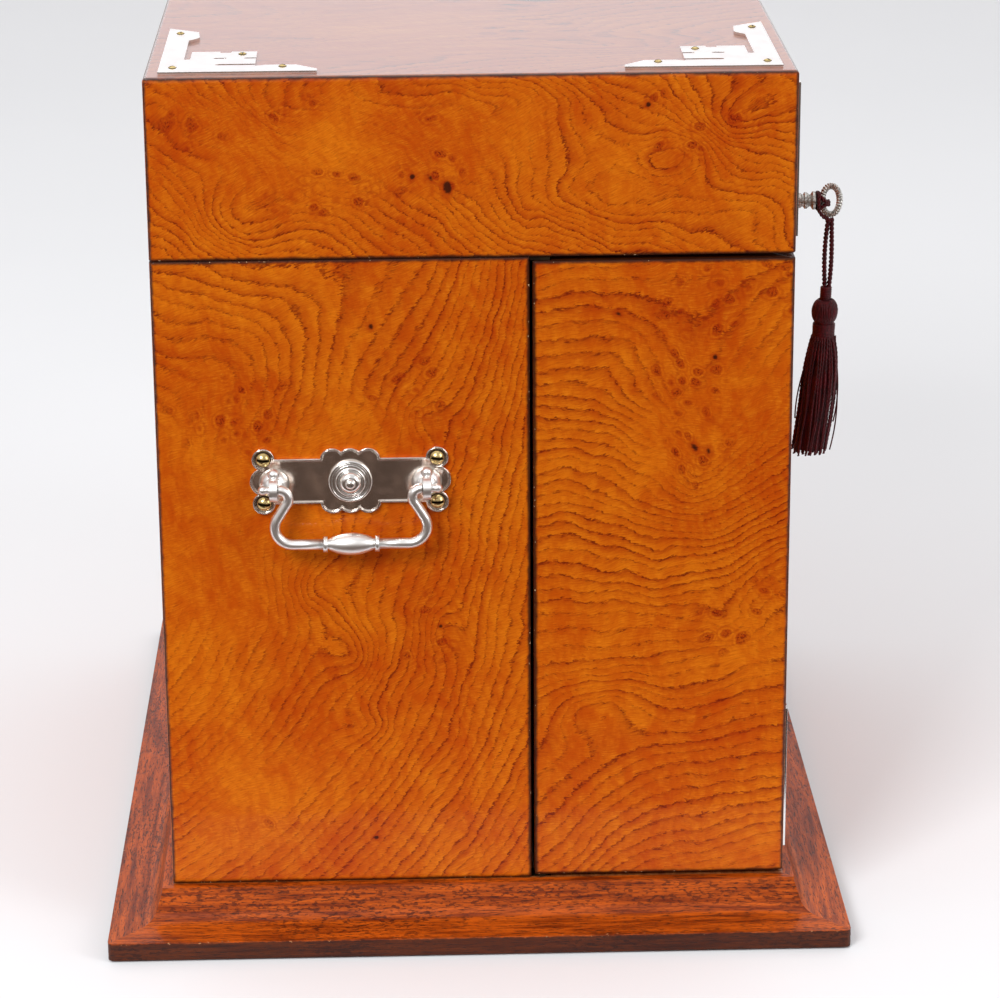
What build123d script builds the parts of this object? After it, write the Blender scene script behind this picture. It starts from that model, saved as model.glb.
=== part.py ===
"""A tantalus: a lockable burr oak cabinet for three decanters and eight tumblers.

Millimetres, +Z up. The origin is the centre of the underside, +X is to the right of someone
who faces the doors, and the doors face -Y. The lid lifts on two butt hinges along the back
edge, and the whole front half of the case is a pair of deep doors on centre pins.
"""

import os
from math import atan2, cos, degrees, hypot, radians, sin, sqrt

from build123d import *

# Case
CASE_WIDTH = 345.0
CASE_DEPTH = 265.0
OVERALL_HEIGHT = 378.0
LID_HEIGHT = 76.0
BOARD = 10.0
CORNER_ROUND = 2.0
EDGE_EASE = 0.8

# Plinth and base
PLINTH_TOP = 24.0
PLINTH_OVERHANG = 27.0
PLINTH_EDGE_TOP = 8.8
PLINTH_LEDGE = 4.4
PLINTH_LEDGE_DROP = 1.4
PLINTH_COVE_OUT = 8.6
PLINTH_COVE_FOOT = 9.8
PLINTH_COVE_RADIUS = 6.5
PLINTH_CORNER_ROUND = 2.6
BAIZE_THICKNESS = 0.8
BAIZE_INSET = 3.0
BASE_BOARD_THICKNESS = 12.0

# Doors
DOOR_DEPTH = 108.0
DOOR_FOOT_GAP = 1.2
DOOR_TOP_GAP = 1.8
DOOR_MEETING_GAP = 0.8
STILE_THICKNESS = 8.0
SHELF_THICKNESS = 8.0
SHELF_SPACING = 132.0
RAIL_RADIUS = 1.5
RAIL_HEIGHT = 30.0
RAIL_INSET = 6.0
RAIL_TENON = 4.0

# Centre-pin pivots of the doors
PIVOT_INSET = 3.0
SWING_CLEARANCE = 0.26
PIVOT_PIN_RADIUS = 1.25
RUNNING_CLEARANCE = 0.05
PIVOT_PIN_LENGTH = 10.0
BUSH_RADIUS = 2.0
BUSH_SPARE = 1.0
PIVOT_PLATE_THICKNESS = 1.5
PIVOT_PLATE_WIDTH = 8.0
PIVOT_PLATE_TAIL = 18.0
PIVOT_PLATE_NOSE = 4.0
PIVOT_PLATE_SIDE_INSET = 1.2
PIVOT_PLATE_CLEARANCE = 0.1
FOOT_COLLAR_RADIUS = 2.6

# Lid hinges
HINGE_SPACING = 130.0
HINGE_LENGTH = 50.0
HINGE_KNUCKLES = 5
KNUCKLE_RADIUS = 2.6
KNUCKLE_GAP = 0.2
KNUCKLE_STANDOFF = 0.3
HINGE_PIN_RADIUS = 1.2
LEAF_THICKNESS = 1.8
LEAF_WIDTH = 8.5

# Lid inside
LINING_THICKNESS = 2.5

# Decanters and their fitting
DECANTER_SIZE = 84.0
DECANTER_CHAMFER = 7.0
DECANTERS = 3
DECANTER_BODY = 148.0
DECANTER_SHOULDER = 14.0
DECANTER_SHOULDER_RADIUS = 62.0
DECANTER_WALL = 5.0
NECK_RADIUS = 16.0
NECK_LENGTH = 22.0
NECK_BORE_RADIUS = 9.0
LIP_RADIUS = 22.0
LIP_THICKNESS = 4.0
STOPPER_HEADROOM = 32.0
DECK_THICKNESS = 8.0
DECK_SETBACK = 2.0
RACK_RISE = 78.0
RACK_THICKNESS = 8.0
RACK_CLEARANCE = 1.5
DIVIDER_THICKNESS = 6.0

# Stoppers
PLUG_LENGTH = 15.0
PLUG_CLEARANCE = 0.4
PLUG_TAPER = 1.0
STOPPER_FLANGE_RADIUS = 13.0
STOPPER_FLANGE_THICKNESS = 2.5
STOPPER_KNOB_RADIUS = 18.0
STOPPER_KNOB_NECK = 9.0
STOPPER_KNOB_RISE = 13.0
STOPPER_KNOB_HEIGHT = 31.0
STOPPER_KNOB_TOP = 10.0
KNOB_SIDES = 8

# Tumblers
TUMBLER_TOP_RADIUS = 32.0
TUMBLER_FOOT_RADIUS = 27.0
TUMBLER_HEIGHT = 84.0
TUMBLER_WALL = 2.4
TUMBLER_BASE = 9.0
TUMBLER_SEAT_DEPTH = 2.5
TUMBLER_SEAT_CLEARANCE = 0.6
TUMBLER_SHARES = (0.25, 0.75)

# Flat strapwork corner mounts, in the mount's own directions: along the short arm,
# which follows the narrow side of its face, and along the long arm.
MOUNT_INSET = 6.0
DOOR_MOUNT_RISE = 9.0
MOUNT_THICKNESS = 1.3
SHORT_ARM = 64.3
SHORT_ARM_TIP = 3.6
SHORT_ARM_WAIST = 10.8
SHORT_ARM_SHOULDER = 14.4
SHORT_ARM_SHOULDER_END = 54.5
SHORT_ARM_SHOULDER_START = 47.0
SHORT_ARM_WAIST_AT = 39.5
LONG_ARM = 91.2
LONG_ARM_WIDTH = 9.4
HOOK_REACH = 13.6
HOOK_HEEL = 82.5
HOOK_POINT = 71.0
HOOK_ROOT = 65.0
STRAP_LOW = 15.0
STRAP_HIGH = 40.0
STRAP_END = 38.9
STRAP_SLIT = 2.6
STRAP_SLOT_END = 22.7
THROAT_FLOOR = 24.5
STRAP_NOTCH_AT = 26.0
STRAP_NOTCH_WIDTH = 4.6
STRAP_NOTCH_DEPTH = 2.5
PIERCING_AT = 26.6
PIERCING_WIDTH = 2.0
PIERCING_LENGTH = 5.4
PIERCING_CENTRE = 24.1
END_NOTCH_DEPTH = 5.0
HOOK_HOLLOW = 1.6
MOUNT_SOFTENING = 0.9
MOUNT_SCREWS = ((5.6, 8.7), (50.2, 9.4), (33.0, 35.0), (5.0, 80.0))
MOUNT_SCREW_RADIUS = 1.8
MOUNT_SCREW_RISE = 0.8
MOUNT_SCREW_TAPER = 35.0
MOUNT_SCREW_SHANK = 1.0
MOUNT_SCREW_DEPTH = 6.0

# Carrying handles
HANDLE_Y = 52.0
HANDLE_Z = 207.2
PLATE_THICKNESS = 1.6
PLATE_RIM = 0.9
PLATE_RECESS = 0.5
BAND_HALF_HEIGHT = 9.8
SCREW_LOBE_RADIUS = 4.7
SCREW_LOBE_OUT = 36.2
SCREW_LOBE_UP = 9.6
END_BULGE_RADIUS = 6.05
END_BULGE_OUT = 35.85
SCALLOP_RADIUS = 5.2
SCALLOP_PITCH = 7.4
SCALLOP_UP = 9.0
HANDLE_SCREW_RADIUS = 3.3
HANDLE_SCREW_RISE = 2.2
HANDLE_SCREW_SHANK = 1.5
HANDLE_SCREW_DEPTH = 7.0
BOSS_RADIUS = 9.2
BOSS_STEP = 1.5
BOSS_RING_RADIUS = 6.6
BOSS_RING_RISE = 2.5
BOSS_DOME_RADIUS = 5.0
BOSS_DOME_RISE = 4.8
BOSS_BUTTON_RADIUS = 2.1
BOSS_BUTTON_RISE = 6.4
POST_OUT = 31.8
POST_DROP = 0.7
POST_CUP_RADIUS = 6.4
POST_CUP_RISE = 4.8
POST_NECK_RADIUS = 3.0
POST_COLLAR_RADIUS = 4.0
POST_COLLAR_THICKNESS = 1.4
EYE_RADIUS = 4.8
EYE_THICKNESS = 3.3
EYE_KNOB_RADIUS = 2.4
EYE_KNOB_UP = 6.0
EYE_KNOB_BACK = 2.6

# Swan-neck bails
BAIL_STANDOFF = 10.5
BAIL_DROP = 24.0
BAIL_ROD_RADIUS = 2.2
BAIL_ELBOW_OUT = 22.8
BAIL_ELBOW_RADIUS = 3.8
BAIL_HIP_OUT = 37.6
BAIL_HIP_RADIUS = 7.5
BAIL_PIN_RADIUS = 1.6
BAIL_SHOULDER_GAP = 0.4
BAIL_BALL_RADIUS = 2.0
BAIL_BALL_GAP = 0.8
BAIL_GRIP_RADIUS = 4.65
BAIL_GRIP_HALF = 9.6
BAIL_COLLAR_RADIUS = 3.3
BAIL_COLLAR_OUT = 10.8
BAIL_COLLAR_WIDTH = 1.8

# Lock, hook bolt and striker
KEY_X = 24.5
KEY_BELOW_TOP = 24.7
LOCK_DEPTH = 12.0
LOCK_LET_IN = 6.0
LOCK_WALL = 1.2
LOCK_SIDE_ROOM = 1.5
LOCK_FOOT_ROOM = 2.0
HOOK_PIVOT_LEFT = 9.5
HOOK_PIVOT_BELOW_TOP = 16.2
HOOK_OUTER = 22.0
HOOK_BAND = 2.2
HOOK_TIP_ANGLE = 40.0
HOOK_TAIL_ANGLE = -12.0
HOOK_ARM_WIDTH = 3.4
HOOK_HUB_RADIUS = 3.4
HOOK_THICKNESS = 2.0
HOOK_SIDE_GAP = 0.3
HOOK_STUD_RADIUS = 1.5
SLOT_CLEARANCE = 0.5
STRIKER_THICKNESS = 1.5
STRIKER_MARGIN = 3.5
STRIKER_HEEL = 10.5
STRIKER_BACK_WOOD = 1.0
STRIKER_POCKET = 4.0

# Key and escutcheon
KEY_RADIUS = 2.5
KEY_BORE_RADIUS = 1.25
KEY_BORE_DEPTH = 6.0
KEY_COLLARS = ((23.5, 3.5, 1.2), (25.7, 3.9, 1.4), (29.4, 4.3, 1.8))
KEY_NECK_RADIUS = 2.0
KEY_BIT_LENGTH = 6.5
KEY_BIT_WIDTH = 5.0
KEY_BIT_THICKNESS = 2.0
BOW_CENTRE = 38.6
BOW_LENGTH = 11.2
BOW_HEIGHT = 16.5
BOW_BAND = 3.0
BOW_THICKNESS = 2.6
KEYHOLE_RADIUS = 2.9
KEYHOLE_SLOT_WIDTH = 2.8
ESCUTCHEON_WIDTH = 15.0
ESCUTCHEON_HEIGHT = 24.0
ESCUTCHEON_THICKNESS = 1.2
ESCUTCHEON_DROP = 2.5

# Tassel on the key
CORD_RADIUS = 1.5
CORD_LENGTH = 33.0
CORD_BOW_CLEARANCE = 0.3
TASSEL_COLLAR_RADIUS = 2.8
TASSEL_COLLAR_HEIGHT = 6.0
TASSEL_HEAD_RADIUS = 6.3
TASSEL_HEAD_HEIGHT = 12.0
TASSEL_NECK_RADIUS = 5.4
TASSEL_NECK_HEIGHT = 6.5
TASSEL_SKIRT_TOP_RADIUS = 6.6
TASSEL_SKIRT_RADIUS = 8.8
TASSEL_SKIRT_HEIGHT = 58.5
TASSEL_FLARE = 2.5
TASSEL_SWELL = 16.0

# Places worked out from the sizes above
HALF_WIDTH = CASE_WIDTH / 2
BACK_Y = CASE_DEPTH / 2
FRONT_Y = -CASE_DEPTH / 2
JOINT_Z = OVERALL_HEIGHT - LID_HEIGHT
SPLIT_GAP = PIVOT_INSET * (sqrt(2) - 1) + SWING_CLEARANCE
DOOR_REAR_Y = FRONT_Y + DOOR_DEPTH
CARCASS_FRONT_Y = DOOR_REAR_Y + SPLIT_GAP
DOOR_FOOT_Z = PLINTH_TOP + DOOR_FOOT_GAP
DOOR_TOP_Z = JOINT_Z - DOOR_TOP_GAP
PIVOT_X = HALF_WIDTH - PIVOT_INSET
PIVOT_Y = DOOR_REAR_Y - PIVOT_INSET
PIVOT_HOLE_RADIUS = PIVOT_PIN_RADIUS + RUNNING_CLEARANCE
HINGE_Y = BACK_Y + KNUCKLE_RADIUS + KNUCKLE_STANDOFF
KNUCKLE_PITCH = HINGE_LENGTH / HINGE_KNUCKLES
DECANTER_Y = (CARCASS_FRONT_Y + BACK_Y - BOARD) / 2
DECANTER_PITCH = (CASE_WIDTH - 2 * BOARD) / DECANTERS
STOPPER_TOP_Z = OVERALL_HEIGHT - BOARD - LINING_THICKNESS - STOPPER_HEADROOM
DECANTER_TOP_Z = STOPPER_TOP_Z - STOPPER_KNOB_HEIGHT - STOPPER_FLANGE_THICKNESS
LIP_Z = DECANTER_TOP_Z - LIP_THICKNESS
NECK_Z = LIP_Z - NECK_LENGTH
SHOULDER_Z = NECK_Z - DECANTER_SHOULDER
DECK_HEIGHT = SHOULDER_Z - DECANTER_BODY
RACK_HEIGHT = DECK_HEIGHT + RACK_RISE
TIERS_Z = (DOOR_FOOT_Z, DOOR_FOOT_Z + SHELF_SPACING)
TIER_LEFT = DOOR_MEETING_GAP / 2 + STILE_THICKNESS
TIER_RIGHT = HALF_WIDTH - BOARD
TUMBLERS_X = [TIER_LEFT + (TIER_RIGHT - TIER_LEFT) * share for share in TUMBLER_SHARES]
TUMBLER_Y = (FRONT_Y + BOARD + DOOR_REAR_Y) / 2
PLATE_SEAT = PLATE_THICKNESS - PLATE_RECESS
EYE_HOLE_RADIUS = BAIL_PIN_RADIUS + RUNNING_CLEARANCE
KEY_Z = DOOR_TOP_Z - KEY_BELOW_TOP
HOOK_X = KEY_X - HOOK_PIVOT_LEFT
HOOK_Z = DOOR_TOP_Z - HOOK_PIVOT_BELOW_TOP
HOOK_INNER = HOOK_OUTER - HOOK_BAND
LOCK_BACK_Y = FRONT_Y + BOARD + LOCK_DEPTH - LOCK_LET_IN
LOCK_FRONT_Y = LOCK_BACK_Y - LOCK_DEPTH
LOCK_LEFT = HOOK_X - HOOK_HUB_RADIUS - LOCK_SIDE_ROOM - LOCK_WALL
LOCK_RIGHT = HOOK_X + HOOK_OUTER + LOCK_SIDE_ROOM + LOCK_WALL
LOCK_FOOT_Z = KEY_Z - KEY_RADIUS - KEY_BIT_LENGTH - LOCK_FOOT_ROOM - LOCK_WALL
HOOK_FRONT_Y = LOCK_FRONT_Y + LOCK_WALL + HOOK_SIDE_GAP
HOOK_BACK_Y = HOOK_FRONT_Y + HOOK_THICKNESS
BIT_FRONT_Y = HOOK_BACK_Y + HOOK_SIDE_GAP + HOOK_SIDE_GAP
KEY_END_Y = LOCK_BACK_Y - LOCK_WALL - HOOK_SIDE_GAP
BOW_Y = FRONT_Y - BOW_CENTRE
CORD_TOP_Z = KEY_Z - BOW_HEIGHT / 2 - CORD_BOW_CLEARANCE
TASSEL_TOP_Z = CORD_TOP_Z - CORD_LENGTH
PROBE = 1.0


def block(low, high):
    """A box between two corners."""
    size = [b - a for a, b in zip(low, high)]
    return Pos(*low) * Box(*size, align=(Align.MIN, Align.MIN, Align.MIN))


def prism(points, low, high):
    """A plan outline carried from one height to another."""
    face = make_face(Polyline(*points, close=True))
    return Pos(0, 0, low) * extrude(face, high - low)


def rod(radius, start, end):
    """A round bar between two points."""
    line = Vector(*end) - Vector(*start)
    return extrude(Plane(origin=start, z_dir=line) * Circle(radius), line.length)


def mirrored(shape):
    """The same piece on the other side of the case."""
    return mirror(shape, Plane.YZ)


def both(shape):
    """A piece and its twin on the other side, as separate solids."""
    return Compound(children=[shape, mirrored(shape)])


def turned(*lines):
    """Half a section, drawn as radius and height, turned about +Z."""
    return revolve(Plane.XZ * make_face(lines), Axis.Z)


def lathe(points):
    """A turned piece with straight flanks: its section's corners as radius and height."""
    return turned(Polyline(*points, close=True))


def annulus(outer, inner, height):
    """A ring that stands on the plane it is placed on."""
    return extrude(Circle(outer) - Circle(inner), height)


def eased_rectangle(low, high, rounds):
    """A rectangle whose four corners, from the low one round to the left, have their own rounds."""
    outline = Pos((low[0] + high[0]) / 2, (low[1] + high[1]) / 2) * Rectangle(
        high[0] - low[0], high[1] - low[1]
    )
    corners = (low, (high[0], low[1]), high, (low[0], high[1]))
    for corner, size in zip(corners, rounds):
        nearest = outline.vertices().sort_by_distance((*corner, 0))[0]
        outline = fillet(nearest, size)
    return outline


def eased_block(low, high, rounded):
    """A box with eased edges, of which the ones that rounded picks by their middle are rounder."""
    shape = block(low, high)
    for picked, radius in ((rounded, CORNER_ROUND), (lambda middle: True, EDGE_EASE)):
        edges = [edge for edge in shape.edges() if picked(edge.center())]
        shape = fillet([edge for edge in edges if on_box_edge(edge.center(), low, high)], radius)
    return shape


def on_box_edge(point, low, high):
    """Whether a point is on two sides of a box at once."""
    sides = [min(abs(p - a), abs(p - b)) < PROBE / 2 for p, a, b in zip(point, low, high)]
    return sum(sides) > 1


# Plinth and base


def plinth_section():
    """Outward run and height of the plinth moulding: ledge, cove, flat slope and square edge."""
    cove_corner = (PLINTH_COVE_OUT, PLINTH_COVE_FOOT)
    outline = Polyline(
        (0, BAIZE_THICKNESS),
        (0, PLINTH_TOP),
        (PLINTH_LEDGE, PLINTH_TOP),
        (PLINTH_LEDGE, PLINTH_TOP - PLINTH_LEDGE_DROP),
        cove_corner,
        (PLINTH_OVERHANG, PLINTH_EDGE_TOP),
        (PLINTH_OVERHANG, BAIZE_THICKNESS),
        close=True,
    )
    section = make_face(outline)
    corner = section.vertices().sort_by_distance((*cove_corner, 0))[0]
    return fillet(corner, PLINTH_COVE_RADIUS)


def plinth_moulding(length, distance, turn):
    """One side of the plinth, mitred at both ends, turned about the centre of the case."""
    half = length / 2 + PLINTH_OVERHANG
    bar = Pos(-half, -distance, 0) * extrude(Plane.YZ * mirror(plinth_section(), Plane.YZ), 2 * half)
    outer = distance + PLINTH_OVERHANG
    mitres = prism(
        [(-half, -outer), (half, -outer), (length / 2, -distance), (-length / 2, -distance)],
        0,
        PLINTH_TOP,
    )
    return Rot(0, 0, turn) * (bar & mitres)


def plinth_footprint():
    """The plinth's outline on the floor, with its worn corners."""
    x, y = HALF_WIDTH + PLINTH_OVERHANG, BACK_Y + PLINTH_OVERHANG
    outline = eased_rectangle((-x, -y), (x, y), [PLINTH_CORNER_ROUND] * 4)
    return extrude(outline, PLINTH_TOP)


def plinth():
    """Front, back and the pair of side mouldings."""
    footprint = plinth_footprint()
    front = plinth_moulding(CASE_WIDTH, BACK_Y, 0) & footprint
    back = plinth_moulding(CASE_WIDTH, BACK_Y, 180) & footprint
    right = plinth_moulding(CASE_DEPTH, HALF_WIDTH, 90) & footprint
    return {"plinth_front": front, "plinth_back": back, "plinth_sides": both(right)}


def base_baize():
    x = HALF_WIDTH + PLINTH_OVERHANG - BAIZE_INSET
    y = BACK_Y + PLINTH_OVERHANG - BAIZE_INSET
    return block((-x, -y, 0), (x, y, BAIZE_THICKNESS))


def base_board():
    top = BAIZE_THICKNESS + BASE_BOARD_THICKNESS
    return block((-HALF_WIDTH, FRONT_Y, BAIZE_THICKNESS), (HALF_WIDTH, BACK_Y, top))


def case_floor():
    """The floor that the carcass stands on and the doors swing over."""
    foot = BAIZE_THICKNESS + BASE_BOARD_THICKNESS
    floor = block((-HALF_WIDTH, FRONT_Y, foot), (HALF_WIDTH, BACK_Y, PLINTH_TOP))
    plate = foot_pivot_plate()
    return floor - plate - mirrored(plate)


# Rear carcass


def carcass_envelope():
    low = (-HALF_WIDTH, CARCASS_FRONT_Y, PLINTH_TOP)
    high = (HALF_WIDTH, BACK_Y, JOINT_Z)

    def back_corner(middle):
        return abs(middle.X) > HALF_WIDTH - PROBE and middle.Y > BACK_Y - PROBE

    return eased_block(low, high, back_corner)


def case_right_side():
    """The side board: mitred to the back, with the top pivot plate let into its top edge."""
    board = prism(
        [
            (HALF_WIDTH, CARCASS_FRONT_Y),
            (HALF_WIDTH, BACK_Y),
            (HALF_WIDTH - BOARD, BACK_Y - BOARD),
            (HALF_WIDTH - BOARD, CARCASS_FRONT_Y),
        ],
        PLINTH_TOP,
        JOINT_Z,
    )
    return (board & carcass_envelope()) - top_pivot_bed() - foot_pivot_plate()


def case_back():
    """The back board, mitred to the sides, with both case leaves let into its top edge."""
    board = prism(
        [
            (-HALF_WIDTH, BACK_Y),
            (HALF_WIDTH, BACK_Y),
            (HALF_WIDTH - BOARD, BACK_Y - BOARD),
            (BOARD - HALF_WIDTH, BACK_Y - BOARD),
        ],
        PLINTH_TOP,
        JOINT_Z,
    )
    board = board & carcass_envelope()
    for x in hinge_centres():
        board -= leaf_bed(x, -1)
    return board


# Lid hinges


def hinge_centres():
    return (-HINGE_SPACING / 2, HINGE_SPACING / 2)


def leaf_bed(x, side):
    """The space of one leaf in its board: side is -1 under the joint and 1 over it."""
    edges = sorted((JOINT_Z, JOINT_Z + side * LEAF_THICKNESS))
    low = (x - HINGE_LENGTH / 2, BACK_Y - LEAF_WIDTH, edges[0])
    return block(low, (x + HINGE_LENGTH / 2, BACK_Y, edges[1]))


def knuckle(x, index, bore, side):
    """One barrel of a hinge, with the web that joins it to its own leaf."""
    start = x - HINGE_LENGTH / 2 + index * KNUCKLE_PITCH + KNUCKLE_GAP / 2
    end = start + KNUCKLE_PITCH - KNUCKLE_GAP
    barrel = rod(KNUCKLE_RADIUS, (start, HINGE_Y, JOINT_Z), (end, HINGE_Y, JOINT_Z))
    edges = sorted((JOINT_Z, JOINT_Z + side * LEAF_THICKNESS))
    web = block((start, BACK_Y, edges[0]), (end, HINGE_Y, edges[1]))
    hole = rod(bore, (start, HINGE_Y, JOINT_Z), (end, HINGE_Y, JOINT_Z))
    return barrel + web - hole


def hinge_leaf(x, side):
    """One leaf: the case leaf has the odd knuckles and holds the pin, the lid leaf the even."""
    odd = side < 0
    bore = HINGE_PIN_RADIUS if odd else HINGE_PIN_RADIUS + RUNNING_CLEARANCE
    leaf = leaf_bed(x, side)
    for index in range(0 if odd else 1, HINGE_KNUCKLES, 2):
        leaf += knuckle(x, index, bore, side)
    return leaf


def hinge_pin(x):
    half = HINGE_LENGTH / 2
    return rod(HINGE_PIN_RADIUS, (x - half, HINGE_Y, JOINT_Z), (x + half, HINGE_Y, JOINT_Z))


def lid_hinges():
    leaves = {side: [hinge_leaf(x, side) for x in hinge_centres()] for side in (-1, 1)}
    return {
        "case_hinge_leaves": Compound(children=leaves[-1]),
        "lid_hinge_leaves": Compound(children=leaves[1]),
        "lid_hinge_pins": Compound(children=[hinge_pin(x) for x in hinge_centres()]),
    }


# Door pivots, for the right-hand door


def pivot_plate_plan(low, high):
    """A pivot plate's outline: a tail on the carcass and a round nose about the pin."""
    outer = HALF_WIDTH - PIVOT_PLATE_SIDE_INSET
    tail = CARCASS_FRONT_Y + PIVOT_PLATE_TAIL
    return block((outer - PIVOT_PLATE_WIDTH, PIVOT_Y - PIVOT_PLATE_NOSE, low), (outer, tail, high))


def top_pivot_plate():
    """The plate let into the carcass's top edge, whose pin drops into the door."""
    foot = DOOR_TOP_Z + PIVOT_PLATE_CLEARANCE
    plate = pivot_plate_plan(foot, foot + PIVOT_PLATE_THICKNESS)
    tip = (PIVOT_X, PIVOT_Y, DOOR_TOP_Z - PIVOT_PIN_LENGTH)
    return plate + rod(PIVOT_PIN_RADIUS, tip, (PIVOT_X, PIVOT_Y, foot))


def top_pivot_bed():
    """What the top plate takes out of the carcass side, open to the joint."""
    return pivot_plate_plan(DOOR_TOP_Z + PIVOT_PLATE_CLEARANCE, JOINT_Z)


def foot_pivot_plate():
    """The plate let into the floor, with a collar that the door rides on and its pin."""
    plate = pivot_plate_plan(PLINTH_TOP - PIVOT_PLATE_THICKNESS, PLINTH_TOP)
    foot = (PIVOT_X, PIVOT_Y, PLINTH_TOP)
    collar_top = DOOR_FOOT_Z - RUNNING_CLEARANCE
    collar = rod(FOOT_COLLAR_RADIUS, foot, (PIVOT_X, PIVOT_Y, collar_top))
    pin = rod(PIVOT_PIN_RADIUS, foot, (PIVOT_X, PIVOT_Y, DOOR_FOOT_Z + PIVOT_PIN_LENGTH))
    return plate + collar + pin


def door_pivot_plates():
    right = [top_pivot_plate(), foot_pivot_plate()]
    return Compound(children=right + [mirrored(plate) for plate in right])


def bush_spans():
    """Low and high ends of the two bushes in a door's side board."""
    depth = PIVOT_PIN_LENGTH + BUSH_SPARE
    return ((DOOR_FOOT_Z, DOOR_FOOT_Z + depth), (DOOR_TOP_Z - depth, DOOR_TOP_Z))


def bush(low, high, bore):
    ring = annulus(BUSH_RADIUS, bore, high - low) if bore else extrude(Circle(BUSH_RADIUS), high - low)
    return Pos(PIVOT_X, PIVOT_Y, low) * ring


# Right-hand door


def door_envelope():
    low = (DOOR_MEETING_GAP / 2, FRONT_Y, DOOR_FOOT_Z)
    high = (HALF_WIDTH, DOOR_REAR_Y, DOOR_TOP_Z)

    def front_corner(middle):
        return middle.X > HALF_WIDTH - PROBE and middle.Y < FRONT_Y + PROBE

    return eased_block(low, high, front_corner)


def door_front():
    """The front board, with the lock let into its back and bored for the key."""
    left = DOOR_MEETING_GAP / 2
    board = prism(
        [
            (left, FRONT_Y),
            (HALF_WIDTH, FRONT_Y),
            (HALF_WIDTH - BOARD, FRONT_Y + BOARD),
            (left, FRONT_Y + BOARD),
        ],
        DOOR_FOOT_Z,
        DOOR_TOP_Z,
    )
    return board & door_envelope()


def right_door_front():
    lock_bed = block((LOCK_LEFT, LOCK_FRONT_Y, LOCK_FOOT_Z), (LOCK_RIGHT, LOCK_BACK_Y, DOOR_TOP_Z))
    return door_front() - lock_bed - keyhole(FRONT_Y, LOCK_FRONT_Y, KEYHOLE_RADIUS)


def door_side():
    """The deep side board, mitred to the front and bored for the pivot bushes."""
    board = prism(
        [
            (HALF_WIDTH, FRONT_Y),
            (HALF_WIDTH, DOOR_REAR_Y),
            (HALF_WIDTH - BOARD, DOOR_REAR_Y),
            (HALF_WIDTH - BOARD, FRONT_Y + BOARD),
        ],
        DOOR_FOOT_Z,
        DOOR_TOP_Z,
    )
    board = board & door_envelope()
    for low, high in bush_spans():
        board -= bush(low, high, 0)
    return board


def door_bushes():
    return Compound(children=[bush(low, high, PIVOT_HOLE_RADIUS) for low, high in bush_spans()])


def rail_ends(tier):
    """The two ends of a tier's gallery rail, in the stile and the side board."""
    y, z = DOOR_REAR_Y - RAIL_INSET, tier + SHELF_THICKNESS + RAIL_HEIGHT
    return (TIER_LEFT - RAIL_TENON, y, z), (TIER_RIGHT + RAIL_TENON, y, z)


def door_rails():
    return Compound(children=[rod(RAIL_RADIUS, *rail_ends(tier)) for tier in TIERS_Z])


def door_stile():
    """The board along the meeting edge, as deep as the side."""
    low = (DOOR_MEETING_GAP / 2, FRONT_Y + BOARD, DOOR_FOOT_Z)
    board = block(low, (TIER_LEFT, DOOR_REAR_Y, DOOR_TOP_Z)) & door_envelope()
    return board - door_rails()


def door_shelves():
    """The door's floor and its shelf, each with a shallow seat for every tumbler."""
    seat = TUMBLER_FOOT_RADIUS + TUMBLER_SEAT_CLEARANCE
    shelves = []
    for tier in TIERS_Z:
        top = tier + SHELF_THICKNESS
        rear = DOOR_REAR_Y - EDGE_EASE
        shelf = block((TIER_LEFT, FRONT_Y + BOARD, tier), (TIER_RIGHT, rear, top))
        for x in TUMBLERS_X:
            place = Pos(x, TUMBLER_Y, top - TUMBLER_SEAT_DEPTH)
            shelf -= place * extrude(Circle(seat), TUMBLER_SEAT_DEPTH)
        shelves.append(shelf)
    return Compound(children=shelves)


def tumbler():
    """A heavy-based tumbler that flares to its rim."""
    flare = (TUMBLER_TOP_RADIUS - TUMBLER_FOOT_RADIUS) / TUMBLER_HEIGHT
    bowl_radius = TUMBLER_FOOT_RADIUS + flare * TUMBLER_BASE - TUMBLER_WALL
    return lathe(
        [
            (0, 0),
            (TUMBLER_FOOT_RADIUS, 0),
            (TUMBLER_TOP_RADIUS, TUMBLER_HEIGHT),
            (TUMBLER_TOP_RADIUS - TUMBLER_WALL, TUMBLER_HEIGHT),
            (bowl_radius, TUMBLER_BASE),
            (0, TUMBLER_BASE),
        ]
    )


def door_tumblers():
    seats = [tier + SHELF_THICKNESS - TUMBLER_SEAT_DEPTH for tier in TIERS_Z]
    places = [Pos(x, TUMBLER_Y, z) for z in seats for x in TUMBLERS_X]
    return Compound(children=[place * tumbler() for place in places])


def door_mount_plane():
    """The lower outer corner of the door: short arm up, long arm inwards."""
    origin = (HALF_WIDTH - MOUNT_INSET, FRONT_Y, DOOR_FOOT_Z + DOOR_MOUNT_RISE)
    return Plane(origin=origin, x_dir=(0, 0, 1), z_dir=(0, -1, 0))


def doors():
    """Both doors, the left one the right one's mirror image but for the lock."""
    plane = door_mount_plane()
    screws = mount_screws(plane)
    front = door_front() - screws
    pieces = {
        "door_side": door_side() - door_rails(),
        "door_stile": door_stile(),
        "door_shelves": door_shelves(),
        "door_rails": door_rails(),
        "tumblers": door_tumblers(),
        "door_mount": corner_mount(plane),
        "door_mount_screws": screws,
        "door_bushes": door_bushes(),
    }
    nodes = {"left_door_front": mirrored(front), "right_door_front": right_door_front() - screws}
    for name, shape in pieces.items():
        nodes["left_" + name] = mirrored(shape)
        nodes["right_" + name] = shape
    return nodes


# Lid


def lid_envelope():
    low = (-HALF_WIDTH, FRONT_Y, JOINT_Z)
    high = (HALF_WIDTH, BACK_Y, OVERALL_HEIGHT)
    return eased_block(low, high, lambda middle: middle.Z > JOINT_Z + PROBE)


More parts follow.
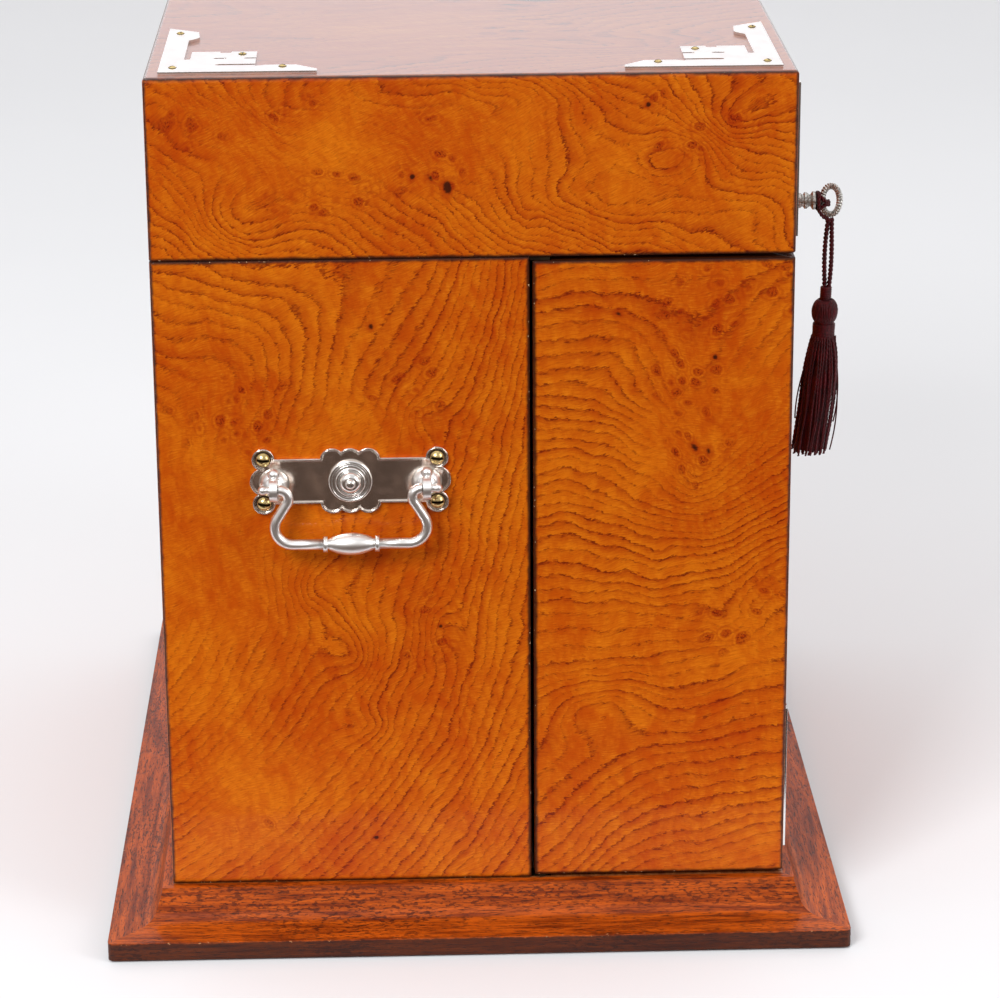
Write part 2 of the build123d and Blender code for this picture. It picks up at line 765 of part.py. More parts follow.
def lid_wall(length, distance, turn):
    """One wall of the lid, mitred to its neighbours and to the top, as a joiner folds a box."""
    half, inner = length / 2, length / 2 - BOARD
    plan = prism(
        [(-half, -distance), (half, -distance), (inner, BOARD - distance), (-inner, BOARD - distance)],
        JOINT_Z,
        OVERALL_HEIGHT,
    )
    section = make_face(
        Polyline(
            (-distance, JOINT_Z),
            (-distance, OVERALL_HEIGHT),
            (BOARD - distance, OVERALL_HEIGHT - BOARD),
            (BOARD - distance, JOINT_Z),
            close=True,
        )
    )
    wall = plan & (Pos(-half, 0, 0) * extrude(Plane.YZ * section, length))
    return Rot(0, 0, turn) * wall & lid_envelope()


def lid_top():
    """The top board, mitred all round."""
    inner = (CASE_WIDTH - 2 * BOARD, CASE_DEPTH - 2 * BOARD)
    under = Pos(0, 0, OVERALL_HEIGHT - BOARD) * Rectangle(*inner)
    over = Pos(0, 0, OVERALL_HEIGHT) * Rectangle(CASE_WIDTH, CASE_DEPTH)
    return loft([under.face(), over.face()]) & lid_envelope()


def lid_lining():
    """The padded panel inside the lid's top."""
    x, y = HALF_WIDTH - BOARD, BACK_Y - BOARD
    top = OVERALL_HEIGHT - BOARD
    return block((-x, -y, top - LINING_THICKNESS), (x, y, top))


def lid_top_mount_plane():
    """The back left corner of the lid's top: short arm forwards, long arm to the right."""
    origin = (MOUNT_INSET - HALF_WIDTH, BACK_Y - MOUNT_INSET, OVERALL_HEIGHT)
    return Plane(origin=origin, x_dir=(0, -1, 0), z_dir=(0, 0, 1))


def lid_front_mount_plane():
    """The upper left corner of the lid's front: short arm down, long arm to the right."""
    origin = (MOUNT_INSET - HALF_WIDTH, FRONT_Y, OVERALL_HEIGHT - MOUNT_INSET)
    return Plane(origin=origin, x_dir=(0, 0, -1), z_dir=(0, -1, 0))


def four_corners(shape):
    """A back left piece of the lid's top, at all four corners."""
    pair = [shape, mirror(shape, Plane.XZ)]
    return pair + [mirrored(one) for one in pair]


def lid():
    """The lid's boards and lining, and the mounts screwed to it."""
    top_mount = corner_mount(lid_top_mount_plane())
    front_mount = corner_mount(lid_front_mount_plane())
    top_screws = four_corners(mount_screws(lid_top_mount_plane()))
    front_screws = [mount_screws(lid_front_mount_plane())]
    front_screws.append(mirrored(front_screws[0]))
    mounts = four_corners(top_mount) + [front_mount, mirrored(front_mount)]
    top, front = lid_top(), lid_wall(CASE_WIDTH, BACK_Y, 0)
    right = lid_wall(CASE_DEPTH, HALF_WIDTH, 90)
    back = lid_wall(CASE_WIDTH, BACK_Y, 180)
    screws = Compound(children=[one for group in top_screws + front_screws for one in group.solids()])
    for x in hinge_centres():
        back -= leaf_bed(x, 1)
    return {
        "lid_top": top - screws,
        "lid_front": front - screws - striker_bed(),
        "lid_back": back - screws,
        "lid_sides": both(right - screws),
        "lid_lining": lid_lining(),
        "lid_mounts": Compound(children=mounts),
        "lid_mount_screws": screws,
        "lock_striker": lock_striker(),
    }


# Strapwork corner mounts


def long_arm():
    """The long arm, which ends in a hook that turns inwards, with a hollow under its beak."""
    edge = Polyline(
        (HOOK_REACH, HOOK_POINT), (HOOK_REACH - MOUNT_SOFTENING, HOOK_HEEL), (0, LONG_ARM), (0, 0)
    )
    stem = Polyline((0, 0), (LONG_ARM_WIDTH, 0), (LONG_ARM_WIDTH, HOOK_ROOT))
    hollow = (LONG_ARM_WIDTH + HOOK_HOLLOW, HOOK_ROOT + HOOK_HOLLOW)
    beak = ThreePointArc((LONG_ARM_WIDTH, HOOK_ROOT), hollow, (HOOK_REACH, HOOK_POINT))
    return make_face([edge, stem, beak])


def short_arm():
    """The short arm: a narrow waist, a shoulder round its screw and a blunt point."""
    outline = Polyline(
        (0, 0),
        (SHORT_ARM, 0),
        (SHORT_ARM, SHORT_ARM_TIP),
        (SHORT_ARM_SHOULDER_END, SHORT_ARM_SHOULDER - MOUNT_SOFTENING),
        (SHORT_ARM_SHOULDER_START, SHORT_ARM_SHOULDER),
        (SHORT_ARM_WAIST_AT, SHORT_ARM_WAIST),
        (0, SHORT_ARM_WAIST),
        close=True,
    )
    return make_face(outline)


def corner_mount_outline():
    """A mount's outline: a pointed short arm, a hooked long arm and a strap between them."""
    strap = Pos(STRAP_END / 2, STRAP_HIGH / 2) * Rectangle(STRAP_END, STRAP_HIGH)
    outline = short_arm() + long_arm() + strap
    under_strap = Pos((STRAP_SLOT_END + SHORT_ARM) / 2, STRAP_LOW - STRAP_SLIT / 2)
    outline -= under_strap * SlotOverall(SHORT_ARM - STRAP_SLOT_END, STRAP_SLIT)
    throat = Pos(LONG_ARM_WIDTH + STRAP_SLIT / 2, (THROAT_FLOOR + HOOK_ROOT) / 2)
    outline -= throat * SlotOverall(HOOK_ROOT - THROAT_FLOOR, STRAP_SLIT, 90)
    notch = Pos(STRAP_NOTCH_AT, STRAP_HIGH) * Rectangle(STRAP_NOTCH_WIDTH, 2 * STRAP_NOTCH_DEPTH)
    end_notch = Pos(STRAP_END, PIERCING_AT) * SlotOverall(2 * END_NOTCH_DEPTH, PIERCING_WIDTH)
    piercing = Pos(PIERCING_CENTRE, PIERCING_AT) * SlotOverall(PIERCING_LENGTH, PIERCING_WIDTH)
    return outline - notch - end_notch - piercing


def corner_mount(plane):
    """A flat plate with its holes, its outer corner at the plane's origin."""
    plate = plane * extrude(corner_mount_outline(), MOUNT_THICKNESS)
    return plate - mount_screws(plane)


def mount_screws(plane):
    """The small round-headed screws of one mount, each a head on a shank."""
    screws = []
    for along, across in MOUNT_SCREWS:
        shank = Pos(along, across, -MOUNT_SCREW_DEPTH) * extrude(
            Circle(MOUNT_SCREW_SHANK), MOUNT_SCREW_DEPTH + MOUNT_THICKNESS
        )
        head = Pos(along, across, MOUNT_THICKNESS) * extrude(
            Circle(MOUNT_SCREW_RADIUS), MOUNT_SCREW_RISE, taper=MOUNT_SCREW_TAPER
        )
        screws.append(plane * (shank + head))
    return Compound(children=screws)


# Carrying handles, for the right-hand side


def handle_plane(standoff=0.0):
    """The middle of the right-hand handle: local X to the back, local Y up, Z outwards."""
    return Plane(origin=(HALF_WIDTH + standoff, HANDLE_Y, HANDLE_Z), x_dir=(0, 1, 0), z_dir=(1, 0, 0))


def handle_outline(inset=0.0):
    """A band with a scalloped middle and a lobe for each screw, drawn in by an inset."""
    outline = Rectangle(2 * SCREW_LOBE_OUT, 2 * (BAND_HALF_HEIGHT - inset))
    for side in (-1, 1):
        outline += Pos(side * END_BULGE_OUT, 0) * Circle(END_BULGE_RADIUS - inset)
        for up in (-1, 1):
            lobe = Circle(SCREW_LOBE_RADIUS - inset)
            outline += Pos(side * SCREW_LOBE_OUT, up * SCREW_LOBE_UP) * lobe
    for up in (-1, 1):
        for step in (-1, 0, 1):
            scallop = Circle(SCALLOP_RADIUS - inset)
            outline += Pos(step * SCALLOP_PITCH, up * SCALLOP_UP) * scallop
    return outline


def handle_plate():
    """The back plate, dished inside a narrow raised rim."""
    plate = extrude(handle_outline(), PLATE_THICKNESS)
    dish = handle_outline(PLATE_RIM)
    for out in (-POST_OUT, POST_OUT):
        dish += Pos(out, -POST_DROP) * Circle(POST_CUP_RADIUS)
    plate -= Pos(0, 0, PLATE_SEAT) * extrude(dish, PLATE_RECESS)
    return handle_plane() * plate - handle_screws()


def domed(radius, foot, top_radius, top):
    """A turned cap that is a slice of a ball, from a wide foot to a narrower top."""
    rise = top - foot
    centre = foot + (rise**2 + top_radius**2 - radius**2) / (2 * rise)
    ball = hypot(radius, foot - centre)
    middle = (atan2(foot - centre, radius) + atan2(top - centre, top_radius)) / 2
    flank = ThreePointArc(
        (radius, foot), (ball * cos(middle), centre + ball * sin(middle)), (top_radius, top)
    )
    corners = [(0, top), (0, foot), (radius, foot)]
    if top_radius:
        corners.insert(0, (top_radius, top))
    return turned(flank, Polyline(*corners))


def handle_screws():
    """Four round-headed screws, one to each lobe."""
    shank_length = HANDLE_SCREW_DEPTH + PLATE_SEAT
    shank = Pos(0, 0, -HANDLE_SCREW_DEPTH) * extrude(Circle(HANDLE_SCREW_SHANK), shank_length)
    screw = shank + domed(HANDLE_SCREW_RADIUS, PLATE_SEAT, 0, PLATE_SEAT + HANDLE_SCREW_RISE)
    outs, ups = (-SCREW_LOBE_OUT, SCREW_LOBE_OUT), (-SCREW_LOBE_UP, SCREW_LOBE_UP)
    screws = [Pos(out, up, 0) * screw for out in outs for up in ups]
    return handle_plane() * Compound(children=screws)


def disc(radius, foot, top):
    """A short turned cylinder between two heights."""
    return Pos(0, 0, foot) * extrude(Circle(radius), top - foot)


def handle_boss():
    """The turned boss at the middle of the plate: a step, a ring, a dome and a button."""
    ring_top = PLATE_SEAT + BOSS_RING_RISE
    boss = disc(BOSS_RADIUS, PLATE_SEAT, PLATE_SEAT + BOSS_STEP)
    boss += disc(BOSS_RING_RADIUS, PLATE_SEAT, ring_top)
    boss += domed(BOSS_DOME_RADIUS, ring_top, BOSS_BUTTON_RADIUS, PLATE_SEAT + BOSS_DOME_RISE)
    boss += disc(BOSS_BUTTON_RADIUS, ring_top, PLATE_SEAT + BOSS_BUTTON_RISE)
    return handle_plane() * boss


def handle_post():
    """A domed cup on the plate, a short collared neck and an upright eye with a knob on top."""
    rise = PLATE_SEAT + POST_CUP_RISE
    post = domed(POST_CUP_RADIUS, PLATE_SEAT, POST_NECK_RADIUS, rise)
    post += disc(POST_COLLAR_RADIUS, rise, rise + POST_COLLAR_THICKNESS)
    half = EYE_THICKNESS / 2
    post += disc(POST_NECK_RADIUS, rise, BAIL_STANDOFF) & block(
        (-half, -POST_NECK_RADIUS, rise), (half, POST_NECK_RADIUS, BAIL_STANDOFF)
    )
    post += rod(EYE_RADIUS, (-half, 0, BAIL_STANDOFF), (half, 0, BAIL_STANDOFF))
    post += Pos(0, EYE_KNOB_UP, BAIL_STANDOFF - EYE_KNOB_BACK) * Sphere(EYE_KNOB_RADIUS)
    return post - rod(EYE_HOLE_RADIUS, (-half, 0, BAIL_STANDOFF), (half, 0, BAIL_STANDOFF))


def handle_posts():
    places = [Pos(side * POST_OUT, -POST_DROP, 0) for side in (-1, 1)]
    return Compound(children=[handle_plane() * (place * handle_post()) for place in places])


def cross_disc(radius, centre, width):
    """A disc across the bail's own length, at a distance out from its middle."""
    return rod(radius, (centre[0] - width / 2, centre[1], 0), (centre[0] + width / 2, centre[1], 0))


def bail():
    """The swan-neck drop handle: a turned grip, S-shaped arms and pins that end in balls."""
    shoulder = POST_OUT - EYE_THICKNESS / 2 - BAIL_SHOULDER_GAP
    path = FilletPolyline(
        (0, -BAIL_DROP),
        (BAIL_HIP_OUT, -BAIL_DROP),
        (BAIL_ELBOW_OUT, 0),
        (shoulder, 0),
        radius=[BAIL_HIP_RADIUS, BAIL_ELBOW_RADIUS],
    )
    half = sweep(Plane(origin=path @ 0, z_dir=path % 0) * Circle(BAIL_ROD_RADIUS), path)
    ball_at = POST_OUT + EYE_THICKNESS / 2 + BAIL_BALL_GAP + BAIL_BALL_RADIUS
    half += rod(BAIL_PIN_RADIUS, (shoulder, 0, 0), (ball_at, 0, 0))
    half += Pos(ball_at, 0, 0) * Sphere(BAIL_BALL_RADIUS)
    half += cross_disc(BAIL_COLLAR_RADIUS, (BAIL_COLLAR_OUT, -BAIL_DROP), BAIL_COLLAR_WIDTH)
    grip = turned(
        ThreePointArc(
            (BAIL_ROD_RADIUS, -BAIL_GRIP_HALF), (BAIL_GRIP_RADIUS, 0), (BAIL_ROD_RADIUS, BAIL_GRIP_HALF)
        ),
        Polyline(
            (BAIL_ROD_RADIUS, BAIL_GRIP_HALF),
            (0, BAIL_GRIP_HALF),
            (0, -BAIL_GRIP_HALF),
            (BAIL_ROD_RADIUS, -BAIL_GRIP_HALF),
        ),
    )
    whole = half + mirror(half, Plane.YZ) + Pos(0, -BAIL_DROP, 0) * Rot(0, 90, 0) * grip
    return handle_plane(BAIL_STANDOFF) * (Pos(0, -POST_DROP, 0) * whole)


def handles():
    """Both carrying handles, one on each side of the rear carcass."""
    screws = handle_screws()
    plate, posts, boss, drop = handle_plate(), handle_posts(), handle_boss(), bail()
    every_screw = screws.solids() + [mirrored(screw) for screw in screws.solids()]
    every_post = posts.solids() + [mirrored(post) for post in posts.solids()]
    return {
        "handle_plates": both(plate),
        "handle_posts": Compound(children=every_post),
        "handle_bosses": both(boss),
        "handle_screws": Compound(children=every_screw),
        "left_bail": mirrored(drop),
        "right_bail": drop,
    }


# Decanters and their fitting


def deck():
    """The raised floor that the decanters stand on."""
    x = HALF_WIDTH - BOARD
    low = (-x, CARCASS_FRONT_Y + DECK_SETBACK, DECK_HEIGHT - DECK_THICKNESS)
    return block(low, (x, BACK_Y - BOARD, DECK_HEIGHT))


def decanters_x():
    return [(place - (DECANTERS - 1) / 2) * DECANTER_PITCH for place in range(DECANTERS)]


def rack():
    """The board, half way up the decanters, that keeps them apart."""
    x = HALF_WIDTH - BOARD
    low = (-x, CARCASS_FRONT_Y + DECK_SETBACK, RACK_HEIGHT)
    board = block(low, (x, BACK_Y - BOARD, RACK_HEIGHT + RACK_THICKNESS))
    hole = decanter_plan(RACK_CLEARANCE)
    for place in decanters_x():
        board -= Pos(place, DECANTER_Y, RACK_HEIGHT) * extrude(hole, RACK_THICKNESS)
    return board


def dividers():
    """The two uprights of the open compartments under the decanters."""
    uprights = []
    for side in (-1, 1):
        x = side * DECANTER_PITCH / 2
        low = (x - DIVIDER_THICKNESS / 2, CARCASS_FRONT_Y + DECK_SETBACK, PLINTH_TOP)
        high = (x + DIVIDER_THICKNESS / 2, BACK_Y - BOARD, DECK_HEIGHT - DECK_THICKNESS)
        uprights.append(block(low, high))
    return Compound(children=uprights)


def decanter_plan(grown):
    """The square outline with cut corners, grown by a clearance or shrunk by a wall."""
    square = Rectangle(DECANTER_SIZE + 2 * grown, DECANTER_SIZE + 2 * grown)
    return chamfer(square.vertices(), DECANTER_CHAMFER)


def decanter_form(grown, low, high, shoulder_foot):
    """A square bottle's body under its shoulder, which is turned where it meets the neck."""
    body = Pos(0, 0, low) * extrude(decanter_plan(grown), high - low)
    reach = DECANTER_SHOULDER_RADIUS + grown
    neck = NECK_RADIUS + grown
    stem = Pos(0, 0, low) * extrude(Circle(reach), shoulder_foot - low)
    return body & (stem + domed(reach, shoulder_foot, neck, high))


def decanter():
    """A heavy square decanter, hollow, with a round neck and a broad lip."""
    outside = decanter_form(0, DECK_HEIGHT, NECK_Z, SHOULDER_Z)
    neck = Pos(0, 0, NECK_Z) * extrude(Circle(NECK_RADIUS), NECK_LENGTH)
    lip = Pos(0, 0, LIP_Z) * extrude(Circle(LIP_RADIUS), LIP_THICKNESS)
    inside_top = NECK_Z - DECANTER_WALL
    inside = decanter_form(
        -DECANTER_WALL, DECK_HEIGHT + 2 * DECANTER_WALL, inside_top, SHOULDER_Z - DECANTER_WALL
    )
    bore = Pos(0, 0, inside_top) * extrude(Circle(NECK_BORE_RADIUS), DECANTER_TOP_Z - inside_top)
    return outside + neck + lip - inside - bore


def stopper():
    """A ground plug, a flange that sits on the lip and an eight-sided cut knob."""
    top_radius = NECK_BORE_RADIUS - PLUG_CLEARANCE
    plug = lathe(
        [
            (0, DECANTER_TOP_Z - PLUG_LENGTH),
            (top_radius - PLUG_TAPER, DECANTER_TOP_Z - PLUG_LENGTH),
            (top_radius, DECANTER_TOP_Z),
            (0, DECANTER_TOP_Z),
        ]
    )
    flange = Pos(0, 0, DECANTER_TOP_Z) * extrude(Circle(STOPPER_FLANGE_RADIUS), STOPPER_FLANGE_THICKNESS)
    foot = DECANTER_TOP_Z + STOPPER_FLANGE_THICKNESS
    tiers = (
        (STOPPER_KNOB_NECK, 0),
        (STOPPER_KNOB_RADIUS, STOPPER_KNOB_RISE),
        (STOPPER_KNOB_TOP, STOPPER_KNOB_HEIGHT),
    )
    faces = [Pos(0, 0, foot + rise) * RegularPolygon(size, KNOB_SIDES) for size, rise in tiers]
    return plug + flange + loft(faces, ruled=True)


def decanter_fitting():
    nodes = {"decanter_deck": deck(), "decanter_rack": rack(), "compartment_dividers": dividers()}
    for name, x in zip(("left", "middle", "right"), decanters_x()):
        place = Pos(x, DECANTER_Y, 0)
        nodes[name + "_decanter"] = place * decanter()
        nodes[name + "_stopper"] = place * stopper()
    return nodes


# Lock, in the right-hand door


def keyhole(front, back, radius):
    """A keyhole through whatever lies between two depths: a round eye over a slot for the bit."""
    eye = rod(radius, (KEY_X, back, KEY_Z), (KEY_X, front, KEY_Z))
    foot = KEY_Z - KEY_RADIUS - KEY_BIT_LENGTH - HOOK_SIDE_GAP
    half = KEYHOLE_SLOT_WIDTH / 2
    return eye + block((KEY_X - half, front, foot), (KEY_X + half, back, KEY_Z))


def lock_case():
    """The let-in lock: a hollow case with the hook's stud, a slotted top and a pin for the key."""
    wall = LOCK_WALL
    case = block((LOCK_LEFT, LOCK_FRONT_Y, LOCK_FOOT_Z), (LOCK_RIGHT, LOCK_BACK_Y, DOOR_TOP_Z))
    case -= block(
        (LOCK_LEFT + wall, LOCK_FRONT_Y + wall, LOCK_FOOT_Z + wall),
        (LOCK_RIGHT - wall, LOCK_BACK_Y - wall, DOOR_TOP_Z - wall),
    )
    case -= keyhole(LOCK_FRONT_Y, LOCK_FRONT_Y + wall, KEY_RADIUS + RUNNING_CLEARANCE)
    case -= hook_slot(DOOR_TOP_Z - wall, DOOR_TOP_Z)
    stud = rod(HOOK_STUD_RADIUS, (HOOK_X, LOCK_FRONT_Y + wall, HOOK_Z), (HOOK_X, HOOK_BACK_Y, HOOK_Z))
    pin_tip = (KEY_X, KEY_END_Y - KEY_BORE_DEPTH + HOOK_SIDE_GAP, KEY_Z)
    drill_pin = rod(KEY_BORE_RADIUS - RUNNING_CLEARANCE, pin_tip, (KEY_X, LOCK_BACK_Y - wall, KEY_Z))
    return case + stud + drill_pin


def hook_slot(low, high):
    """The slot that the hook's band passes through, between two heights."""
    rise_low, rise_high = low - HOOK_Z, high - HOOK_Z
    near = sqrt(max(HOOK_INNER**2 - rise_high**2, 0)) - SLOT_CLEARANCE
    far = sqrt(HOOK_OUTER**2 - rise_low**2) + SLOT_CLEARANCE
    gap = HOOK_SIDE_GAP
    return block((HOOK_X + near, HOOK_FRONT_Y - gap, low), (HOOK_X + far, HOOK_BACK_Y + gap, high))


def hook_bolt():
    """The hook: a hub on the stud, an arm and a band that is part of a ring about the stud."""
    span = HOOK_TIP_ANGLE - HOOK_TAIL_ANGLE
    middle = radians(HOOK_TAIL_ANGLE + span / 2)
    angles = (radians(HOOK_TAIL_ANGLE), middle, radians(HOOK_TIP_ANGLE))
    outer = [(HOOK_OUTER * cos(angle), HOOK_OUTER * sin(angle)) for angle in angles]
    inner = [(HOOK_INNER * cos(angle), HOOK_INNER * sin(angle)) for angle in angles]
    sides = [ThreePointArc(*outer), ThreePointArc(*inner)]
    band = make_face(sides + [Line(outer[0], inner[0]), Line(outer[2], inner[2])])
    reach = HOOK_INNER + HOOK_BAND / 2
    tilt = HOOK_TAIL_ANGLE + degrees(HOOK_ARM_WIDTH / 2 / reach)
    arm = Rot(0, 0, tilt) * (Pos(reach / 2, 0) * Rectangle(reach, HOOK_ARM_WIDTH))
    plan = band + arm + Circle(HOOK_HUB_RADIUS) - Circle(HOOK_STUD_RADIUS + RUNNING_CLEARANCE)
    plane = Plane(origin=(HOOK_X, HOOK_BACK_Y, HOOK_Z), x_dir=(1, 0, 0), z_dir=(0, -1, 0))
    return plane * extrude(plan, HOOK_THICKNESS)


def striker_span():
    """Left and right ends of the striker, which reaches past the hook's slot both ways."""
    near = sqrt(max(HOOK_INNER**2 - (JOINT_Z + STRIKER_THICKNESS - HOOK_Z) ** 2, 0))
    far = sqrt(HOOK_OUTER**2 - (JOINT_Z - HOOK_Z) ** 2)
    return HOOK_X + near - STRIKER_HEEL, HOOK_X + far + STRIKER_MARGIN


def striker_plan(low, high):
    left, right = striker_span()
    middle = (HOOK_FRONT_Y + HOOK_BACK_Y) / 2
    half = FRONT_Y + BOARD - STRIKER_BACK_WOOD - middle
    return block((left, middle - half, low), (right, middle + half, high))


def lock_striker():
    """The slotted plate let into the lid's edge, which the hook passes and then turns over."""
    top = JOINT_Z + STRIKER_THICKNESS
    return striker_plan(JOINT_Z, top) - hook_slot(JOINT_Z, top)


def striker_bed():
    """What the striker and the hook's head take out of the lid's front board."""
    top = JOINT_Z + STRIKER_THICKNESS
    left, right = striker_span()
    gap = HOOK_SIDE_GAP
    head = block(
        (left + STRIKER_MARGIN / 2, HOOK_FRONT_Y - gap, top),
        (right - STRIKER_MARGIN / 2, HOOK_BACK_Y + gap, top + STRIKER_POCKET),
    )
    return striker_plan(JOINT_Z, top) + head


def escutcheon():
    """The oval plate round the keyhole."""
    plane = Plane(origin=(KEY_X, FRONT_Y, KEY_Z - ESCUTCHEON_DROP), x_dir=(1, 0, 0), z_dir=(0, -1, 0))
    plate = plane * extrude(Ellipse(ESCUTCHEON_WIDTH / 2, ESCUTCHEON_HEIGHT / 2), ESCUTCHEON_THICKNESS)
    return plate - keyhole(FRONT_Y - ESCUTCHEON_THICKNESS, FRONT_Y, KEYHOLE_RADIUS)


def key():
    """A piped key: bored stem, bit, collars and an oval bow that stands upright."""
    def stem(radius, start, end):
        return rod(radius, (KEY_X, start, KEY_Z), (KEY_X, end, KEY_Z))

    last_collar = KEY_COLLARS[-1]
    stem_tip = FRONT_Y - last_collar[0]
    bow_rear = BOW_Y + BOW_LENGTH / 2
    shape = stem(KEY_RADIUS, KEY_END_Y, stem_tip)
    shape += stem(KEY_NECK_RADIUS, stem_tip, bow_rear - BOW_BAND / 2)
    for out, radius, width in KEY_COLLARS:
        shape += stem(radius, FRONT_Y - out, FRONT_Y - out - width)
    shape += block(
        (KEY_X - KEY_BIT_THICKNESS / 2, BIT_FRONT_Y, KEY_Z - KEY_RADIUS - KEY_BIT_LENGTH),
        (KEY_X + KEY_BIT_THICKNESS / 2, BIT_FRONT_Y + KEY_BIT_WIDTH, KEY_Z),
    )
    plane = Plane(origin=(KEY_X - BOW_THICKNESS / 2, BOW_Y, KEY_Z), x_dir=(0, 1, 0), z_dir=(1, 0, 0))
    half = (BOW_LENGTH / 2, BOW_HEIGHT / 2)
    rim = Ellipse(*half) - Ellipse(half[0] - BOW_BAND, half[1] - BOW_BAND)
    shape += plane * extrude(rim, BOW_THICKNESS)
    return shape - stem(KEY_BORE_RADIUS, KEY_END_Y - KEY_BORE_DEPTH, KEY_END_Y)


# Tassel


def tassel_cord():
    """The doubled cord, which the tassel's weight pulls straight."""
    return rod(CORD_RADIUS, (KEY_X, BOW_Y, TASSEL_TOP_Z), (KEY_X, BOW_Y, CORD_TOP_Z))


def tassel():
    """The bound collar, the wound head, its neck binding and the skirt, as one soft shape."""
    collar_foot = -TASSEL_COLLAR_HEIGHT
    head_foot = collar_foot - TASSEL_HEAD_HEIGHT
    neck_foot = head_foot - TASSEL_NECK_HEIGHT
    skirt_foot = neck_foot - TASSEL_SKIRT_HEIGHT
    head = ThreePointArc(
        (TASSEL_COLLAR_RADIUS, collar_foot),
        (TASSEL_HEAD_RADIUS, (collar_foot + head_foot) / 2),
        (TASSEL_NECK_RADIUS, head_foot),
    )
    rest = Polyline(
        (TASSEL_NECK_RADIUS, head_foot),
        (TASSEL_NECK_RADIUS, neck_foot),
        (TASSEL_SKIRT_TOP_RADIUS, neck_foot - TASSEL_FLARE),
        (TASSEL_SKIRT_RADIUS, neck_foot - TASSEL_SWELL),
        (TASSEL_SKIRT_RADIUS, skirt_foot),
        (0, skirt_foot),
        (0, 0),
        (TASSEL_COLLAR_RADIUS, 0),
        (TASSEL_COLLAR_RADIUS, collar_foot),
    )
    return Pos(KEY_X, BOW_Y, TASSEL_TOP_Z) * turned(head, rest)


def lock_and_key():
    return {
        "lock_case": lock_case(),
        "hook_bolt": hook_bolt(),
        "escutcheon": escutcheon(),
        "key": key(),
        "tassel_cord": tassel_cord(),
        "tassel": tassel(),
    }


def carcass():
    """The boards of the rear carcass and of the base."""
    screws = handle_screws()
    side = case_right_side() - screws
    return {
        "base_baize": base_baize(),
        "base_board": base_board(),
        "case_floor": case_floor(),
        "case_right_side": side,
        "case_left_side": mirrored(side),
        "case_back": case_back(),
        "door_pivot_plates": door_pivot_plates(),
    }


def tantalus():
    """Every node of the cabinet, by name."""
    groups = (plinth, carcass, lid_hinges, doors, lid, handles, decanter_fitting, lock_and_key)
    nodes = {}
    for group in groups:
        nodes.update(group())
    return nodes


os.makedirs("parts", exist_ok=True)
for node, shape in tantalus().items():
    export_step(shape, f"parts/{node}.step")
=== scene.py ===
"""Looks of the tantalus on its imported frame: materials, screws, key, cord, tassel and studio."""

import math
import random
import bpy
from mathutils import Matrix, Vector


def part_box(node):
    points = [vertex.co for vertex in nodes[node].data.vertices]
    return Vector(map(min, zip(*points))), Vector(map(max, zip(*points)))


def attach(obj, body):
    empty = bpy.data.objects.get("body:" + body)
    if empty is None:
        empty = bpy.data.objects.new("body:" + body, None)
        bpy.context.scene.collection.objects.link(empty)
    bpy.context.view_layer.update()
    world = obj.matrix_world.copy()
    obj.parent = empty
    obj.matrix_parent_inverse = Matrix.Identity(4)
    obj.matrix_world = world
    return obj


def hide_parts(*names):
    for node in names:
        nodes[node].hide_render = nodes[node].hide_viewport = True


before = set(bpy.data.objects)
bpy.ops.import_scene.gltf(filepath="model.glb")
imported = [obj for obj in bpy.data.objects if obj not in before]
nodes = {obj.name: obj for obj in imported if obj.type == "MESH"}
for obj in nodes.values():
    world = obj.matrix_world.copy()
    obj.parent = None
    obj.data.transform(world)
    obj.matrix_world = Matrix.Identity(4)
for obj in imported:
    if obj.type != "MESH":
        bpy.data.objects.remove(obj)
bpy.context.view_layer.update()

from types import SimpleNamespace

import bmesh
import bpy
from mathutils import Matrix, Vector

MM = 0.001

# Places and sizes repeated from part.py, in millimetres
HALF_WIDTH, FRONT_Y, BACK_Y = 172.5, -132.5, 132.5
PLINTH_TOP, JOINT_Z, TOP_Z = 24.0, 302.0, 378.0
DOOR_REAR_Y, CARCASS_FRONT_Y = -24.5, -23.0
DOOR_FOOT_GAP, DOOR_TOP_GAP, DOOR_HALF_GAP = 1.2, 1.8, 0.4
PLINTH_OUT = 27.0
KEY_X, KEY_Z, BOW_Y = 24.5, 275.5, -171.1
CORD_TOP_Z, TASSEL_TOP_Z = 266.95, 233.95
MOUNT_SCREW_RADIUS, MOUNT_SCREW_RISE = 1.8, 0.8
HANDLE_SCREW_RADIUS, HANDLE_SCREW_RISE = 3.3, 2.2

# The end of the cord, out of sight among the tassel's threads
CORD_END_Z = 205.0


def linked(name, data):
    """A new object in the scene."""
    thing = bpy.data.objects.new(name, data)
    bpy.context.collection.objects.link(thing)
    return thing


# Camera, as fitted to the photograph


def photo_camera():
    """A long lens from the near end, a little above and a little turned. Angles are in radians."""
    azimuth, pitch, roll = -0.0287, 0.3256, -0.0065
    forward = Vector(
        (math.cos(azimuth) * math.cos(pitch), math.sin(azimuth) * math.cos(pitch), -math.sin(pitch))
    )
    right = forward.cross(Vector((0, 0, 1))).normalized()
    up = right.cross(forward)
    tilted_right = math.cos(roll) * right + math.sin(roll) * up
    tilted_up = -math.sin(roll) * right + math.cos(roll) * up
    data = bpy.data.cameras.new("photo_camera")
    data.sensor_width, data.lens = 36, 126.7
    data.clip_start, data.clip_end = 0.05, 50
    camera = linked("photo_camera", data)
    turn = Matrix((tilted_right, tilted_up, -forward)).transposed()
    camera.matrix_world = Matrix.Translation((-1.568, 0.0297, 0.669)) @ turn.to_4x4()
    bpy.context.scene.camera = camera


photo_camera()


# Shader arithmetic


